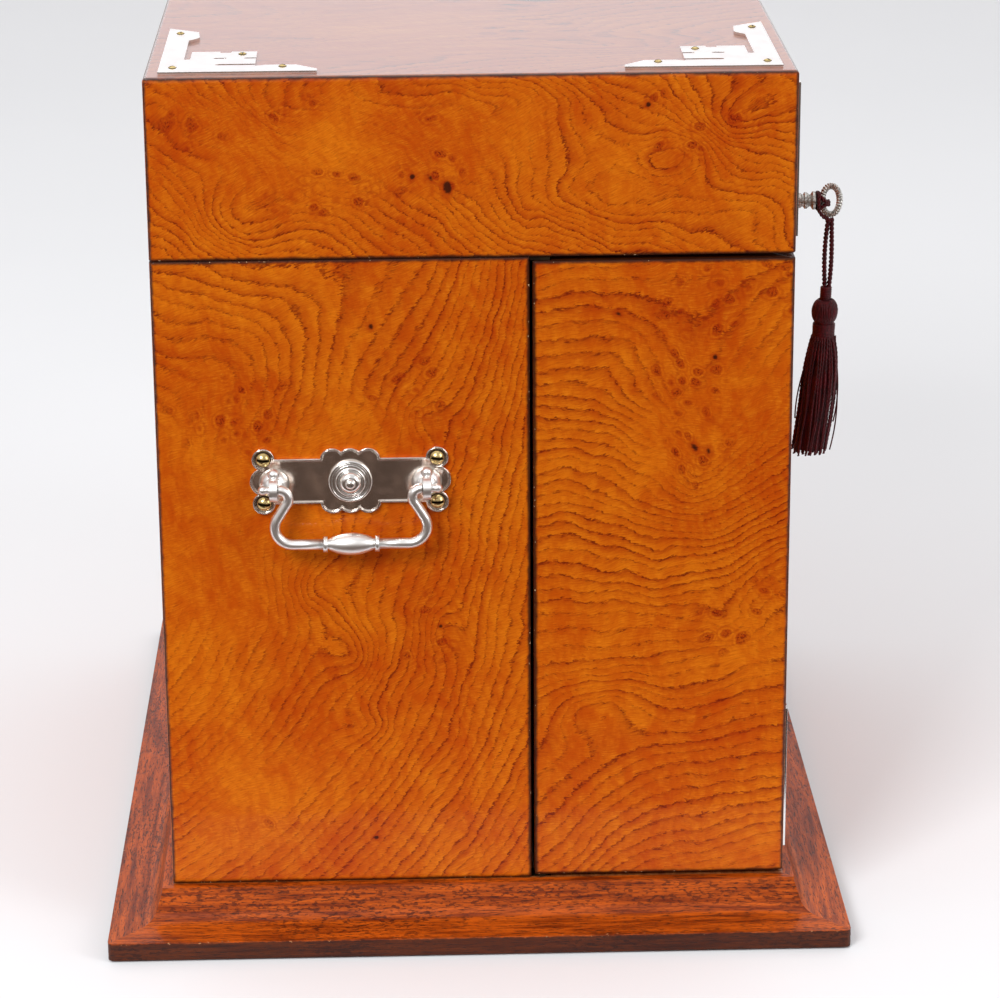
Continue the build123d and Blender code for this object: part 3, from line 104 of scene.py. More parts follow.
class Wire:
    """A socket that arithmetic turns into Math nodes."""

    def __init__(self, tree, socket):
        self.tree, self.socket = tree, socket

    def math(self, operation, *others, clamp=False):
        return math_node(self.tree, operation, (self, *others), clamp)

    def __add__(self, other):
        return self.math("ADD", other)

    def __sub__(self, other):
        return self.math("SUBTRACT", other)

    def __mul__(self, other):
        return self.math("MULTIPLY", other)

    def __truediv__(self, other):
        return self.math("DIVIDE", other)

    def least(self, other):
        return self.math("MINIMUM", other)

    def most(self, other):
        return self.math("MAXIMUM", other)

    def size(self):
        return self.math("ABSOLUTE")

    def fract(self):
        return self.math("FRACT")

    def step(self, low, high):
        """0 under low, 1 over high and smooth between; high may be the lower one."""
        node = self.tree.nodes.new("ShaderNodeMapRange")
        node.interpolation_type = "SMOOTHSTEP"
        flip = low > high
        plug(self.tree, node.inputs["Value"], self)
        node.inputs["From Min"].default_value = min(low, high)
        node.inputs["From Max"].default_value = max(low, high)
        node.inputs["To Min"].default_value = float(flip)
        node.inputs["To Max"].default_value = float(not flip)
        return Wire(self.tree, node.outputs["Result"])


def plug(tree, socket, value):
    if isinstance(value, Wire):
        tree.links.new(value.socket, socket)
    else:
        socket.default_value = value


def math_node(tree, operation, values, clamp=False):
    node = tree.nodes.new("ShaderNodeMath")
    node.operation, node.use_clamp = operation, clamp
    for socket, value in zip(node.inputs, values):
        plug(tree, socket, value)
    return Wire(tree, node.outputs[0])


def mix_node(tree, share, first, second):
    """The first colour at a share of 0 and the second at 1."""
    node = tree.nodes.new("ShaderNodeMix")
    node.data_type = "RGBA"
    plug(tree, node.inputs[0], share)
    for socket, value in ((node.inputs[6], first), (node.inputs[7], second)):
        plug(tree, socket, (*value, 1) if isinstance(value, tuple) else value)
    return Wire(tree, node.outputs[2])


class Look:
    """A material under construction. Its coordinates are millimetres of the frame."""

    def __init__(self, name):
        self.material = bpy.data.materials.new(name)
        self.material.use_nodes = True
        self.tree = self.material.node_tree
        self.bsdf = self.tree.nodes["Principled BSDF"]
        place = self.tree.nodes.new("ShaderNodeTexCoord")
        scaled = self.tree.nodes.new("ShaderNodeVectorMath")
        scaled.operation = "SCALE"
        scaled.inputs["Scale"].default_value = 1 / MM
        self.tree.links.new(place.outputs["Object"], scaled.inputs[0])
        split = self.tree.nodes.new("ShaderNodeSeparateXYZ")
        self.tree.links.new(scaled.outputs[0], split.inputs[0])
        self.x, self.y, self.z = (Wire(self.tree, split.outputs[i]) for i in range(3))

    def point(self, x, y, z):
        node = self.tree.nodes.new("ShaderNodeCombineXYZ")
        for socket, value in zip(node.inputs, (x, y, z)):
            plug(self.tree, socket, value)
        return Wire(self.tree, node.outputs[0])

    def place(self):
        return self.point(self.x, self.y, self.z)

    def noise(self, point, size, detail=3, rough=0.55, seed=0):
        """Noise with features about size millimetres long, from 0 to 1."""
        node = self.tree.nodes.new("ShaderNodeTexNoise")
        node.noise_dimensions = "4D"
        plug(self.tree, node.inputs["Vector"], point)
        node.inputs["W"].default_value = seed
        node.inputs["Scale"].default_value = 1 / size
        node.inputs["Detail"].default_value = detail
        node.inputs["Roughness"].default_value = rough
        return Wire(self.tree, node.outputs[0])

    def cells(self, point, size):
        """Distance to the nearest of scattered points about size millimetres apart, as a share of size."""
        node = self.tree.nodes.new("ShaderNodeTexVoronoi")
        plug(self.tree, node.inputs["Vector"], point)
        node.inputs["Scale"].default_value = 1 / size
        return Wire(self.tree, node.outputs["Distance"])

    def mix(self, share, first, second):
        return mix_node(self.tree, share, first, second)

    def bump(self, height, strength, distance=0.0002, after=None):
        """Relief over the normal that comes from after, if one does."""
        node = self.tree.nodes.new("ShaderNodeBump")
        node.inputs["Strength"].default_value = strength
        node.inputs["Distance"].default_value = distance
        plug(self.tree, node.inputs["Height"], height)
        if after is not None:
            self.tree.links.new(after, node.inputs["Normal"])
        self.tree.links.new(node.outputs[0], self.bsdf.inputs["Normal"])
        return node.outputs[0]

    def rounded(self, radius):
        """A normal that rounds the edges by a radius in millimetres."""
        node = self.tree.nodes.new("ShaderNodeBevel")
        node.samples = 4
        node.inputs["Radius"].default_value = radius * MM
        self.tree.links.new(node.outputs[0], self.bsdf.inputs["Normal"])
        return node.outputs[0]

    def set(self, **values):
        """Shader inputs by name, with an underscore for each space."""
        for name, value in values.items():
            plug(self.tree, self.bsdf.inputs[name.replace("_", " ")], value)


def linear(red, green, blue):
    """Screen colour from 0 to 255, as the linear colour that shaders take."""
    parts = (part / 255 for part in (red, green, blue))
    return tuple(p / 12.92 if p <= 0.04045 else ((p + 0.055) / 1.055) ** 2.4 for p in parts)


# Oak


def hills(u, v, places):
    """A sum of smooth hills and hollows: centre across and up, the two radii, and the height."""
    total = None
    for centre_u, centre_v, radius_u, radius_v, height in places:
        across = (u - centre_u) / radius_u
        along = (v - centre_v) / radius_v
        one = (across * across + along * along).math("MULTIPLY", -1).math("EXPONENT") * height
        total = one if total is None else total + one
    return total


def box_edges(look, low, high):
    """Distance from a box's nearest side, and from its nearest edge."""
    away = []
    for value, a, b in zip((look.x, look.y, look.z), low, high):
        away.append((value - (a + b) / 2).size() * -1 + (b - a) / 2)
    a, b, c = (one.size() for one in away)
    skin = a.least(b).least(c)
    edge = a.least(b).most(a.most(b).least(c))
    return skin, edge


AMBER = linear(208, 110, 8)
ORANGE = linear(182, 72, 0)
HONEY = linear(228, 138, 28)
RUST = linear(150, 38, 0)
BARK = linear(98, 14, 0)
# Dark edge colour, for rubbed edges and for painted shade where the case and doors meet the lid
EDGE_WEAR_AND_GAP_SHADE = linear(38, 15, 8)
CHIP = linear(226, 190, 150)


def worn_edges(look, colour, edge, seed):
    """Dark, rubbed edges with a few tiny bright chips."""
    ragged = look.noise(look.place(), 5, 4, 0.6, seed) * 2.2 - 1.1
    dark = (edge + ragged * 0.9).step(2, 0.5) * 0.9
    colour = look.mix(dark, colour, EDGE_WEAR_AND_GAP_SHADE)
    chip = look.noise(look.place(), 1.3, 1, 0.5, seed + 7).step(0.7, 0.73)
    return look.mix(chip * edge.step(0.9, 0.3), colour, CHIP)


class Figure(SimpleNamespace):
    """Where a veneer's growth rings run, where they fade and where its burr eyes and dark knots sit.

    spacing is the rings' pitch and fibre the fibres' angle in degrees. The rings lie square to slope or
    round centre. bends, calm and eyes are hills, and a spot is its place and its radius.
    """

    slope = centre = None

    def field(self, u, v):
        """A height whose level lines are the rings."""
        total = hills(u, v, self.bends)
        if self.slope:
            total = total + u * self.slope[0] + v * self.slope[1]
        if self.centre:
            across, up = u - self.centre[0], v - self.centre[1]
            total = total + (across * across + up * up).math("SQRT")
        return total


CASE_FIGURE = Figure(
    spacing=4.4, centre=(-215, 185), fibre=14,
    bends=[
        (-10, 345, 80, 95, -95), (-92, 262, 26, 30, -15), (-70, 190, 40, 30, 10), (-16, 137, 9, 13, 12),
        (-52, 130, 12, 14, -16), (-64, 160, 14, 10, 12), (-22, 232, 9, 8, 9), (-50, 95, 10, 8, -9),
    ],
    calm=[
        (-108, 195, 44, 70, 0.85), (-100, 70, 42, 44, 0.75), (-52, 222, 34, 26, 0.6),
        (-30, 160, 16, 26, 0.45),
    ],
    eyes=[
        (-100, 235, 30, 22, 0.9), (-20, 250, 34, 24, 0.7), (-20, 140, 16, 26, 0.8),
        (-58, 128, 14, 12, 0.8), (-95, 50, 40, 16, 0.6), (-22, 205, 8, 7, 1),
    ],
    spots=[(-42, 274, 1.1), (-43, 45, 0.9), (-17, 139, 0.8)],
)
DOOR_FIGURE = Figure(
    spacing=5.6, slope=(0.16, -1), fibre=4,
    bends=[
        (50, 103, 20, 14, 22), (20, 28, 36, 52, -34), (96, 225, 34, 50, -52), (112, 212, 20, 30, 10),
        (105, 139, 11, 11, -13), (132, 165, 22, 30, 16), (36, 186, 26, 30, 10), (32, 150, 24, 20, 8),
    ],
    calm=[(104, 240, 36, 50, 0.9), (112, 128, 22, 18, 0.5), (48, 145, 24, 14, 0.35)],
    eyes=[
        (108, 283, 36, 22, 0.95), (88, 252, 18, 18, 0.8), (94, 218, 16, 18, 0.95),
        (106, 139, 16, 14, 0.9), (124, 160, 14, 16, 0.5),
    ],
    spots=[(91, 219, 1.7), (98, 218, 1.3), (58, 276, 1.1), (103, 262, 0.8)],
)
LID_FIGURE = Figure(
    spacing=4.6, slope=(0.55, 0.75), fibre=24,
    bends=[
        (82, 345, 15, 11, -22), (45, 325, 34, 16, 24), (110, 360, 16, 10, 18), (118, 322, 22, 12, -14),
        (-15, 335, 14, 9, 16), (-60, 332, 14, 9, 14), (-95, 322, 20, 12, 20), (-60, 370, 40, 9, 12),
        (10, 368, 30, 10, -14),
    ],
    calm=[(-70, 352, 62, 30, 0.8), (8, 352, 34, 22, 0.7), (84, 346, 16, 12, 0.5)],
    eyes=[
        (-62, 330, 30, 13, 0.95), (-16, 338, 15, 11, 1), (-115, 358, 18, 14, 0.8), (-70, 364, 22, 9, 0.8),
        (84, 346, 13, 11, 1), (106, 358, 14, 9, 0.9), (70, 370, 10, 6, 0.8), (-16, 361, 10, 8, 0.8),
    ],
    spots=[(-12, 330, 1.8), (-20.5, 332, 1.3), (-27.5, 333.5, 0.9), (70, 364, 0.9)],
)


def veneer(name, figure, across, up, low, high, seed, gloss=0.1, tone=1):
    """Burr oak veneer on the outside of a box; inside it is plain oak.

    across and up take the look and give the figure's own two coordinates, and tone darkens the whole: painted
    shade, which the lid's top takes against the light that falls on it.
    """
    look = Look(name)
    u, v = across(look), up(look)
    flat = look.point(u, v, 0)

    # Growth rings: bent, toothed, of uneven depth and broken into dashes
    warp_u = (look.noise(flat, 34, 2.2, 0.42, seed) - 0.5) * 18
    warp_v = (look.noise(flat, 34, 2.2, 0.42, seed + 3.1) - 0.5) * 18
    bent_u, bent_v = u + warp_u, v + warp_v
    turn = math.radians(figure.fibre)
    along = bent_u * math.cos(turn) + bent_v * math.sin(turn)
    athwart = bent_v * math.cos(turn) - bent_u * math.sin(turn)
    teeth = look.noise(look.point(along / 4, athwart, 0), 0.75, 2, 0.6, seed + 1) - 0.5
    ripple = look.noise(flat, 6.5, 3, 0.6, seed + 2) - 0.5
    rings = figure.field(bent_u, bent_v) / figure.spacing + teeth * 0.85 + ripple * 0.75
    number = rings.math("FLOOR")
    white = look.tree.nodes.new("ShaderNodeTexWhiteNoise")
    white.noise_dimensions = "1D"
    look.tree.links.new(number.socket, white.inputs["W"])
    depth = Wire(look.tree, white.outputs["Value"]) * 0.8 + 0.2
    part = rings.fract()
    dashes = look.noise(look.point(along / 2.2, athwart, 0), 1.5, 2, 0.6, seed + 11).step(0.4, 0.58)
    line = part.step(0, 0.05) * part.step(0.3, 0.1) * (dashes * 0.7 + 0.3)
    shade = part.step(0, 0.12) * part.step(0.9, 0.16)

    # Calm patches, where the rings fade, and pores
    lively = look.noise(flat, 34, 2, 0.5, seed + 4) * 1.3 + 0.25
    lively = (lively - hills(u, v, figure.calm)).step(0.15, 0.75) * 0.88 + 0.12
    pores = look.noise(look.point(along / 5, athwart, 0), 0.46, 2, 0.6, seed + 5)
    pore = (pores + line * 0.16).step(0.6, 0.7)
    stray = pores.step(0.61, 0.7)

    # Burr eyes
    nest = (hills(u, v, figure.eyes) + look.noise(flat, 12, 2, 0.5, seed + 6) * 0.9).step(0.75, 1.15)
    eye = look.cells(look.point(bent_u + ripple * 5, bent_v * 1.15 + teeth * 1.6, seed), 8.4) * 8.4
    smudge = eye.step(3, 0.9) * nest
    speck = look.noise(flat, 0.85, 2, 0.6, seed + 7).step(0.48, 0.6)
    swirl = ((eye * 0.5 + ripple * 1.8).fract() - 0.5).size().step(0.1, 0.42) * eye.step(6.4, 2) * nest

    # Colour of the ground, then what lies on it
    broad = look.noise(flat, 44, 3, 0.55, seed + 8).step(0.36, 0.64)
    curl = look.noise(look.point(along, athwart / 2, 0), 4.6, 4, 0.65, seed + 9).step(0.34, 0.66)
    fibres = look.noise(look.point(along / 9, athwart, 0), 0.5, 3, 0.6, seed + 10)
    colour = look.mix(broad * 0.52 + curl * 0.44, ORANGE, AMBER)
    colour = look.mix(fibres.step(0.5, 0.3) * curl * 0.42, colour, HONEY)
    colour = look.mix(fibres.step(0.46, 0.68) * 0.34, colour, RUST)
    colour = look.mix(shade * depth * lively * 0.55, colour, RUST)
    colour = look.mix(line * depth * lively * 0.8, colour, BARK)
    colour = look.mix(pore * line * lively * 0.6 + stray * 0.28, colour, BARK)
    colour = look.mix(swirl * 0.5, colour, RUST)
    colour = look.mix(smudge * 0.55, colour, RUST)
    colour = look.mix(smudge * speck * 0.9, colour, BARK)

    for spot_u, spot_v, radius in figure.spots:
        across_spot, up_spot = bent_u - spot_u, bent_v - spot_v
        away = (across_spot * across_spot + up_spot * up_spot).math("SQRT")
        away = away + (ripple * 3.2 + teeth) * radius
        colour = look.mix(away.step(radius * 3.4, radius * 0.6) * 0.6, colour, RUST)
        colour = look.mix(away.step(radius * 1.4, radius * 0.4) * 0.92, colour, linear(44, 14, 4))

    # Plain oak inside, worn edges, and painted shade along the top where a door or the case meets the lid
    skin, edge = box_edges(look, low, high)
    inside = skin.step(1.2, 2)
    grain = look.noise(look.point(look.x / 9, look.y / 9, look.z), 2.4, 4, 0.6, seed + 12)
    plain = look.mix(grain.step(0.32, 0.66), linear(96, 44, 16), linear(146, 84, 40))
    colour = look.mix(inside, colour, look.mix(stray * 0.5, plain, BARK))
    colour = worn_edges(look, colour, edge, seed)
    # Painted shade of the gap under the lid: the top of the case and of the doors is darkened nearly to the
    # edge colour
    if high[2] < TOP_Z:
        colour = look.mix((look.z - high[2]).size().step(0.5, 0.2) * 0.9, colour, EDGE_WEAR_AND_GAP_SHADE)
    # tone under 1 darkens the colour towards black, a painted shade
    look.set(Base_Color=look.mix(1 - tone, colour, (0, 0, 0)), Roughness=0.42)
    look.set(Coat_Weight=gloss, Coat_Roughness=0.06 + 0.08 * gloss, Specular_IOR_Level=0.08 + 0.5 * gloss)
    soft = look.rounded(1.6)
    look.bump((line * pore + smudge * speck * 0.6) * -1, 0.1, 0.0002, after=soft)
    look.tree.links.new(soft, look.bsdf.inputs["Coat Normal"])
    return look.material


def straight_oak(name, length_axis, seed, dark, light):
    """Straight-grained oak, with dark streaks, pores and a few ray flecks."""
    look = Look(name)
    axes = {"x": (look.x, look.y, look.z), "y": (look.y, look.x, look.z), "z": (look.z, look.y, look.x)}
    along, across, depth = axes[length_axis]
    drift = (look.noise(look.point(along / 5, across, depth), 30, 2, 0.5, seed) - 0.5) * 9
    lined = look.point(along / 14, across + drift, depth + drift * 0.4)
    streak = look.noise(lined, 2.6, 4, 0.62, seed + 1)
    pore = look.noise(look.point(along / 9, across, depth), 0.55, 2, 0.7, seed + 2).step(0.53, 0.66)
    flecks = look.noise(look.point(along / 2.4, across * 0.6, depth), 1.7, 2, 0.5, seed + 3)
    mottle = look.noise(look.point(along / 2, across, depth), 26, 2, 0.5, seed + 4)
    colour = look.mix(streak.step(0.3, 0.66), dark, light)
    colour = look.mix(flecks.step(0.6, 0.7) * mottle.step(0.35, 0.65) * 0.55, colour, BARK)
    colour = look.mix(pore * 0.75, colour, BARK)
    look.set(Base_Color=colour, Roughness=0.42, Coat_Weight=0.5, Coat_Roughness=0.16)
    look.bump(pore * -1, 0.3, 0.0003)
    return look.material


def plinth_oak(name, length_axis, seed, dark, light):
    """The plinth's oak: as straight oak, with its square edge nearly black and chipped."""
    look = Look(name)
    along, across = (look.x, look.y) if length_axis == "x" else (look.y, look.x)
    drift = (look.noise(look.point(along / 5, across, look.z), 34, 2, 0.5, seed) - 0.5) * 10
    lined = look.point(along / 13, across + drift, look.z * 1.4)
    streak = look.noise(lined, 2.4, 4, 0.62, seed + 1)
    pores = look.noise(look.point(along / 8, across, look.z * 1.5), 0.55, 2, 0.7, seed + 2)
    pore = pores.step(0.52, 0.64)
    fleck = look.noise(look.point(along / 2.4, across, look.z), 1.15, 2, 0.55, seed + 3).step(0.53, 0.6)
    patch = look.noise(look.point(along / 2.2, across, look.z), 30, 2, 0.5, seed + 4).step(0.42, 0.62)
    colour = look.mix(streak.step(0.28, 0.68), dark, light)
    cove = look.z.step(11.5, 14.5) * look.z.step(23.6, 22)
    colour = look.mix(fleck * patch.most(cove * 0.9) * 0.75, colour, linear(70, 22, 6))
    colour = look.mix(pore * 0.8, colour, linear(48, 18, 8))
    ragged = look.noise(look.place(), 4, 4, 0.6, seed + 5)
    foot = (look.z + ragged * 2).step(9.9, 9)
    colour = look.mix(foot * 0.85, colour, linear(36, 16, 10))
    outer_x = (look.x.size() * -1 + (HALF_WIDTH + PLINTH_OUT)).size()
    outer_y = (look.y.size() * -1 + (BACK_Y + PLINTH_OUT)).size()
    rim = outer_x.least(outer_y)
    chip = look.noise(look.place(), 1.6, 2, 0.5, seed + 6).step(0.64, 0.69)
    at_rim = (look.z - 8.6).size().step(0.9, 0.2) * rim.step(1.6, 0.4)
    colour = look.mix(chip * at_rim * 0.7, colour, linear(196, 138, 92))
    look.set(Base_Color=colour, Roughness=0.45, Specular_IOR_Level=0.15)
    look.set(Coat_Weight=0.16, Coat_Roughness=0.12)
    look.bump(pore * -1, 0.35, 0.0003)
    return look.material


# Metals, glass and cloth


def metal(name, bright, dull, rough, edge=0, scratch=0.05, seed=0, wave=0, grime=0):
    """Polished metal with faint rubbing marks and slightly duller patches.

    wave is the strength of slow dents, and grime the share of fine dark dirt.
    """
    look = Look(name)
    patch = look.noise(look.place(), 9, 4, 0.6, seed)
    rub = look.noise(look.point(look.x, look.y * 6, look.z * 9), 1.6, 3, 0.7, seed + 1)
    colour = look.mix(patch.step(0.35, 0.75), bright, dull)
    if grime:
        dirt = look.noise(look.place(), 0.8, 3, 0.6, seed + 2).step(0.44, 0.62)
        colour = look.mix(dirt * grime, colour, (0.05, 0.04, 0.03))
    look.set(Base_Color=colour, Metallic=1)
    look.set(Roughness=(patch * scratch + rub * scratch + rough).math("ADD", 0, clamp=True))
    after = look.rounded(edge) if edge else None
    if wave:
        after = look.bump(look.noise(look.place(), 16, 2, 0.5, seed + 3), wave, 0.002, after=after)
    look.bump(rub, 0.05, 0.00005, after=after)
    return look.material


def glass(name):
    look = Look(name)
    smudge = look.noise(look.place(), 14, 4, 0.6, 2).step(0.45, 0.8)
    look.set(Base_Color=(0.96, 0.985, 0.98, 1), Transmission_Weight=1, IOR=1.5)
    look.set(Roughness=smudge * 0.05 + 0.01)
    look.bump(look.noise(look.place(), 11, 2, 0.5, 4), 0.06, 0.0004)
    return look.material


def cloth(name, dark, light, weave, rough=0.9, sheen=0.4, seed=0):
    """Close woven cloth: fibres of about weave millimetres over a slow change of shade."""
    look = Look(name)
    nap = look.noise(look.place(), weave, 4, 0.75, seed)
    shade = look.noise(look.place(), 40, 3, 0.5, seed + 1)
    look.set(Base_Color=look.mix(nap * 0.6 + shade * 0.4, dark, light), Roughness=rough)
    look.set(Sheen_Weight=sheen, Sheen_Roughness=0.4)
    look.bump(nap, 0.4, 0.0003)
    return look.material


def silk(name):
    """Burgundy thread, with painted shade in streaks between its strands."""
    look = Look(name)
    streak = look.noise(look.point(look.x * 3, look.y * 3, look.z * 0.35), 1.4, 3, 0.6, 1)
    slow = look.noise(look.place(), 6, 2, 0.5, 2)
    colour = look.mix((streak * 0.7 + slow * 0.3).step(0.3, 0.75), linear(26, 0, 4), linear(100, 7, 23))
    look.set(Base_Color=colour, Roughness=0.5, Specular_IOR_Level=0.3)
    look.set(Sheen_Weight=0.08, Sheen_Roughness=0.35)
    look.bump(streak, 0.3, 0.0002)
    return look.material


lid_box = ((-HALF_WIDTH, FRONT_Y, JOINT_Z), (HALF_WIDTH, BACK_Y, TOP_Z))
case_box = ((-HALF_WIDTH, CARCASS_FRONT_Y, PLINTH_TOP), (HALF_WIDTH, BACK_Y, JOINT_Z))
door_low, door_high = PLINTH_TOP + DOOR_FOOT_GAP, JOINT_Z - DOOR_TOP_GAP
left_door_box = ((-HALF_WIDTH, FRONT_Y, door_low), (-DOOR_HALF_GAP, DOOR_REAR_Y, door_high))
right_door_box = ((DOOR_HALF_GAP, FRONT_Y, door_low), (HALF_WIDTH, DOOR_REAR_Y, door_high))


def paint(material, *names):
    """Gives CAD nodes a material."""
    for name in names:
        for holder in nodes[name].material_slots:
            holder.material = material


def height(look):
    return look.z


def along_side(look):
    return look.y * -1


def book_matched(scale, start):
    """Out from the middle of the front or back to both sides."""
    return lambda look: look.x.size() * scale + start


def dress_boards():
    """Veneer outside and straight oak within. A number is the seed of a board's own figure."""
    lid_front, door_front = book_matched(1, -60), book_matched(-1, 150)
    back = book_matched(1, -120)
    for name, figure, across, box, seed, *boards in (
        ("case_side_veneer", CASE_FIGURE, along_side, case_box, 2, "case_left_side", "case_right_side"),
        ("lid_side_veneer", LID_FIGURE, along_side, lid_box, 21, "lid_sides"),
        ("lid_front_veneer", LID_FIGURE, lid_front, lid_box, 41, "lid_front", "lid_back"),
        ("back_veneer", CASE_FIGURE, back, case_box, 61, "case_back"),
    ):
        paint(veneer(name, figure, across, height, *box, seed), *boards)
    for side, box in (("left", left_door_box), ("right", right_door_box)):
        for part, across, seed in (("door_side", along_side, 11), ("door_front", door_front, 51)):
            board = f"{side}_{part}"
            paint(veneer(board + "_veneer", DOOR_FIGURE, across, height, *box, seed), board)

    def top_across(look):
        return look.x * 0.8

    def top_along(look):
        return look.y * 0.3 + 340

    # The lid's top: full gloss, and tone 0.55 darkens it, painted shade against the light that falls on the
    # top
    gloss_and_painted_shade = {"gloss": 1, "tone": 0.55}
    paint(veneer("lid_top_veneer", LID_FIGURE, top_across, top_along, *lid_box, 31, **gloss_and_painted_shade), "lid_top")

    plinth_shades = linear(104, 32, 0), linear(192, 86, 12)
    inner_shades = linear(92, 44, 18), linear(150, 86, 42)
    for make, name, grain, seed, shades, *boards in (
        (plinth_oak, "plinth_side_oak", "y", 3, plinth_shades, "plinth_sides"),
        (plinth_oak, "plinth_front_oak", "x", 5, plinth_shades, "plinth_front", "plinth_back"),
        (straight_oak, "inner_oak", "x", 9, inner_shades, "decanter_deck", "decanter_rack", "case_floor",
         "base_board", "left_door_shelves", "right_door_shelves"),
        (straight_oak, "divider_oak", "y", 13, inner_shades, "compartment_dividers"),
        (straight_oak, "stile_oak", "z", 15, inner_shades, "left_door_stile", "right_door_stile"),
    ):
        paint(make(name, grain, seed, *shades), *boards)


SILVER, GREY = (0.93, 0.92, 0.9), (0.8, 0.79, 0.77)


def dress_metals():
    """Metal on the CAD nodes. Returns the silvers that detailed pieces take too."""
    plate = metal("plate_silver", SILVER, GREY, 0.1, 0.35, 0.04, 1)
    paint(plate, "lid_mounts", "left_door_mount", "right_door_mount")
    warm_silver, warm_grey = (0.95, 0.86, 0.78), (0.8, 0.7, 0.62)
    backplate = metal("handle_plate_silver", warm_silver, warm_grey, 0.11, 0.9, 0.07, 7, wave=0.6)
    paint(backplate, "handle_plates")
    cast = metal("cast_silver", (0.94, 0.935, 0.92), GREY, 0.26, 0, 0.09, 2)
    paint(cast, "handle_posts", "handle_bosses", "left_bail", "right_bail")
    paint(cast, "left_door_rails", "right_door_rails")
    yellow = metal("hinge_brass", (0.6, 0.42, 0.18), (0.3, 0.19, 0.07), 0.28, 0.2, 0.12, 3)
    paint(yellow, "case_hinge_leaves", "lid_hinge_leaves", "lid_hinge_pins")
    paint(yellow, "lock_case", "lock_striker", "escutcheon")
    # Near-dark brass for the pivot plates and bushes: painted shade of the dark gap between the doors' tops
    # and the lid
    black = metal("pivot_brass_as_gap_shade", (0.05, 0.035, 0.02), (0.02, 0.014, 0.01), 0.5, 0, 0.12, 9)
    paint(black, "door_pivot_plates", "left_door_bushes", "right_door_bushes")
    paint(metal("lock_steel", (0.52, 0.51, 0.5), (0.34, 0.33, 0.32), 0.3, 0.2, 0.12, 4), "hook_bolt")
    polished = metal("polished_silver", SILVER, GREY, 0.16, 0, 0.06, 10)
    return {"silver": cast, "polished": polished}


dress_boards()
silvers = dress_metals()
screw_brass = metal("screw_brass", (0.74, 0.58, 0.27), (0.46, 0.33, 0.13), 0.16, 0, 0.07, 5, grime=0.25)
# Near black: painted shade in the screws' slots and a painted shadow round their heads
painted_slot_and_rim_shade = metal("painted_slot_and_rim_shade", (0.03, 0.02, 0.008), (0.012, 0.008, 0.004), 0.7, 0, 0.1, 8)
key_metal = metal("key_nickel", (0.7, 0.69, 0.66), (0.34, 0.33, 0.3), 0.24, 0, 0.14, 6, grime=0.7)
tassel_silk = silk("tassel_silk")
cut_glass = glass("cut_glass")
for one in ("left", "middle", "right"):
    paint(cut_glass, one + "_decanter", one + "_stopper")
paint(cut_glass, "left_tumblers", "right_tumblers")
paint(cloth("green_baize", linear(18, 46, 28), linear(44, 88, 56), 0.6), "base_baize")


# Mesh helpers


def new_piece(name, mesh, body, material):
    """A detailed piece that rides a body."""
    piece = linked(name, mesh)
    mesh.materials.append(material)
    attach(piece, body)
    return piece


def shaded(mesh, sharp=None):
    """Smooth shading, but for edges of over sharp degrees."""
    for polygon in mesh.polygons:
        polygon.use_smooth = True
    if sharp:
        mesh.set_sharp_from_angle(angle=math.radians(sharp))
    return mesh


def islands(node):
    """Lowest and highest corner of each separate solid of a node, in metres."""
    mesh = bmesh.new()
    mesh.from_mesh(nodes[node].data)
    bmesh.ops.remove_doubles(mesh, verts=mesh.verts, dist=1e-7)
    left, boxes = set(mesh.verts), []
    while left:
        stack, group = [left.pop()], []
        while stack:
            vert = stack.pop()
            group.append(vert.co)
            for edge in vert.link_edges:
                other = edge.other_vert(vert)
                if other in left:
                    left.remove(other)
                    stack.append(other)
        boxes.append(tuple(Vector(pick(p[i] for p in group) for i in range(3)) for pick in (min, max)))
    mesh.free()
    return sorted(boxes, key=lambda box: tuple(box[0]))


def angles(count, made=None):
    """Even steps round a circle, count to a turn; made is how many, if not one turn."""
    return [math.tau * i / count for i in range(made or count)]


def facing(place, direction):
    """Carries the origin to a place and +Z to a direction."""
    return Matrix.Translation(place) @ direction.to_track_quat("Z", "Y").to_matrix().to_4x4()


def lathe(mesh, profile, turn, segments=40):
    """Adds a turned form: profile is radius and height, turn carries +Z to its axis."""
    rings = []
    for radius, height in profile:
        if radius < 1e-7:
            rings.append([mesh.verts.new(turn @ Vector((0, 0, height)))])
            continue
        ring = [Vector((radius * math.cos(a), radius * math.sin(a), height)) for a in angles(segments)]
        rings.append([mesh.verts.new(turn @ point) for point in ring])
    for low, high in zip(rings, rings[1:]):
        for i in range(segments):
            j = (i + 1) % segments
            corners = [low[i % len(low)], low[j % len(low)], high[j % len(high)], high[i % len(high)]]
            unique = list(dict.fromkeys(corners))
            if len(unique) > 2:
                mesh.faces.new(unique)


def finished(mesh, name):
    bmesh.ops.recalc_face_normals(mesh, faces=mesh.faces)
    data = bpy.data.meshes.new(name)
    mesh.to_mesh(data)
    mesh.free()
    return data


def built(mesh, name, body, material, sharp=None):
    """A smoothly shaded piece from a bmesh, which this frees."""
    return new_piece(name, shaded(finished(mesh, name), sharp), body, material)


# Slotted screws


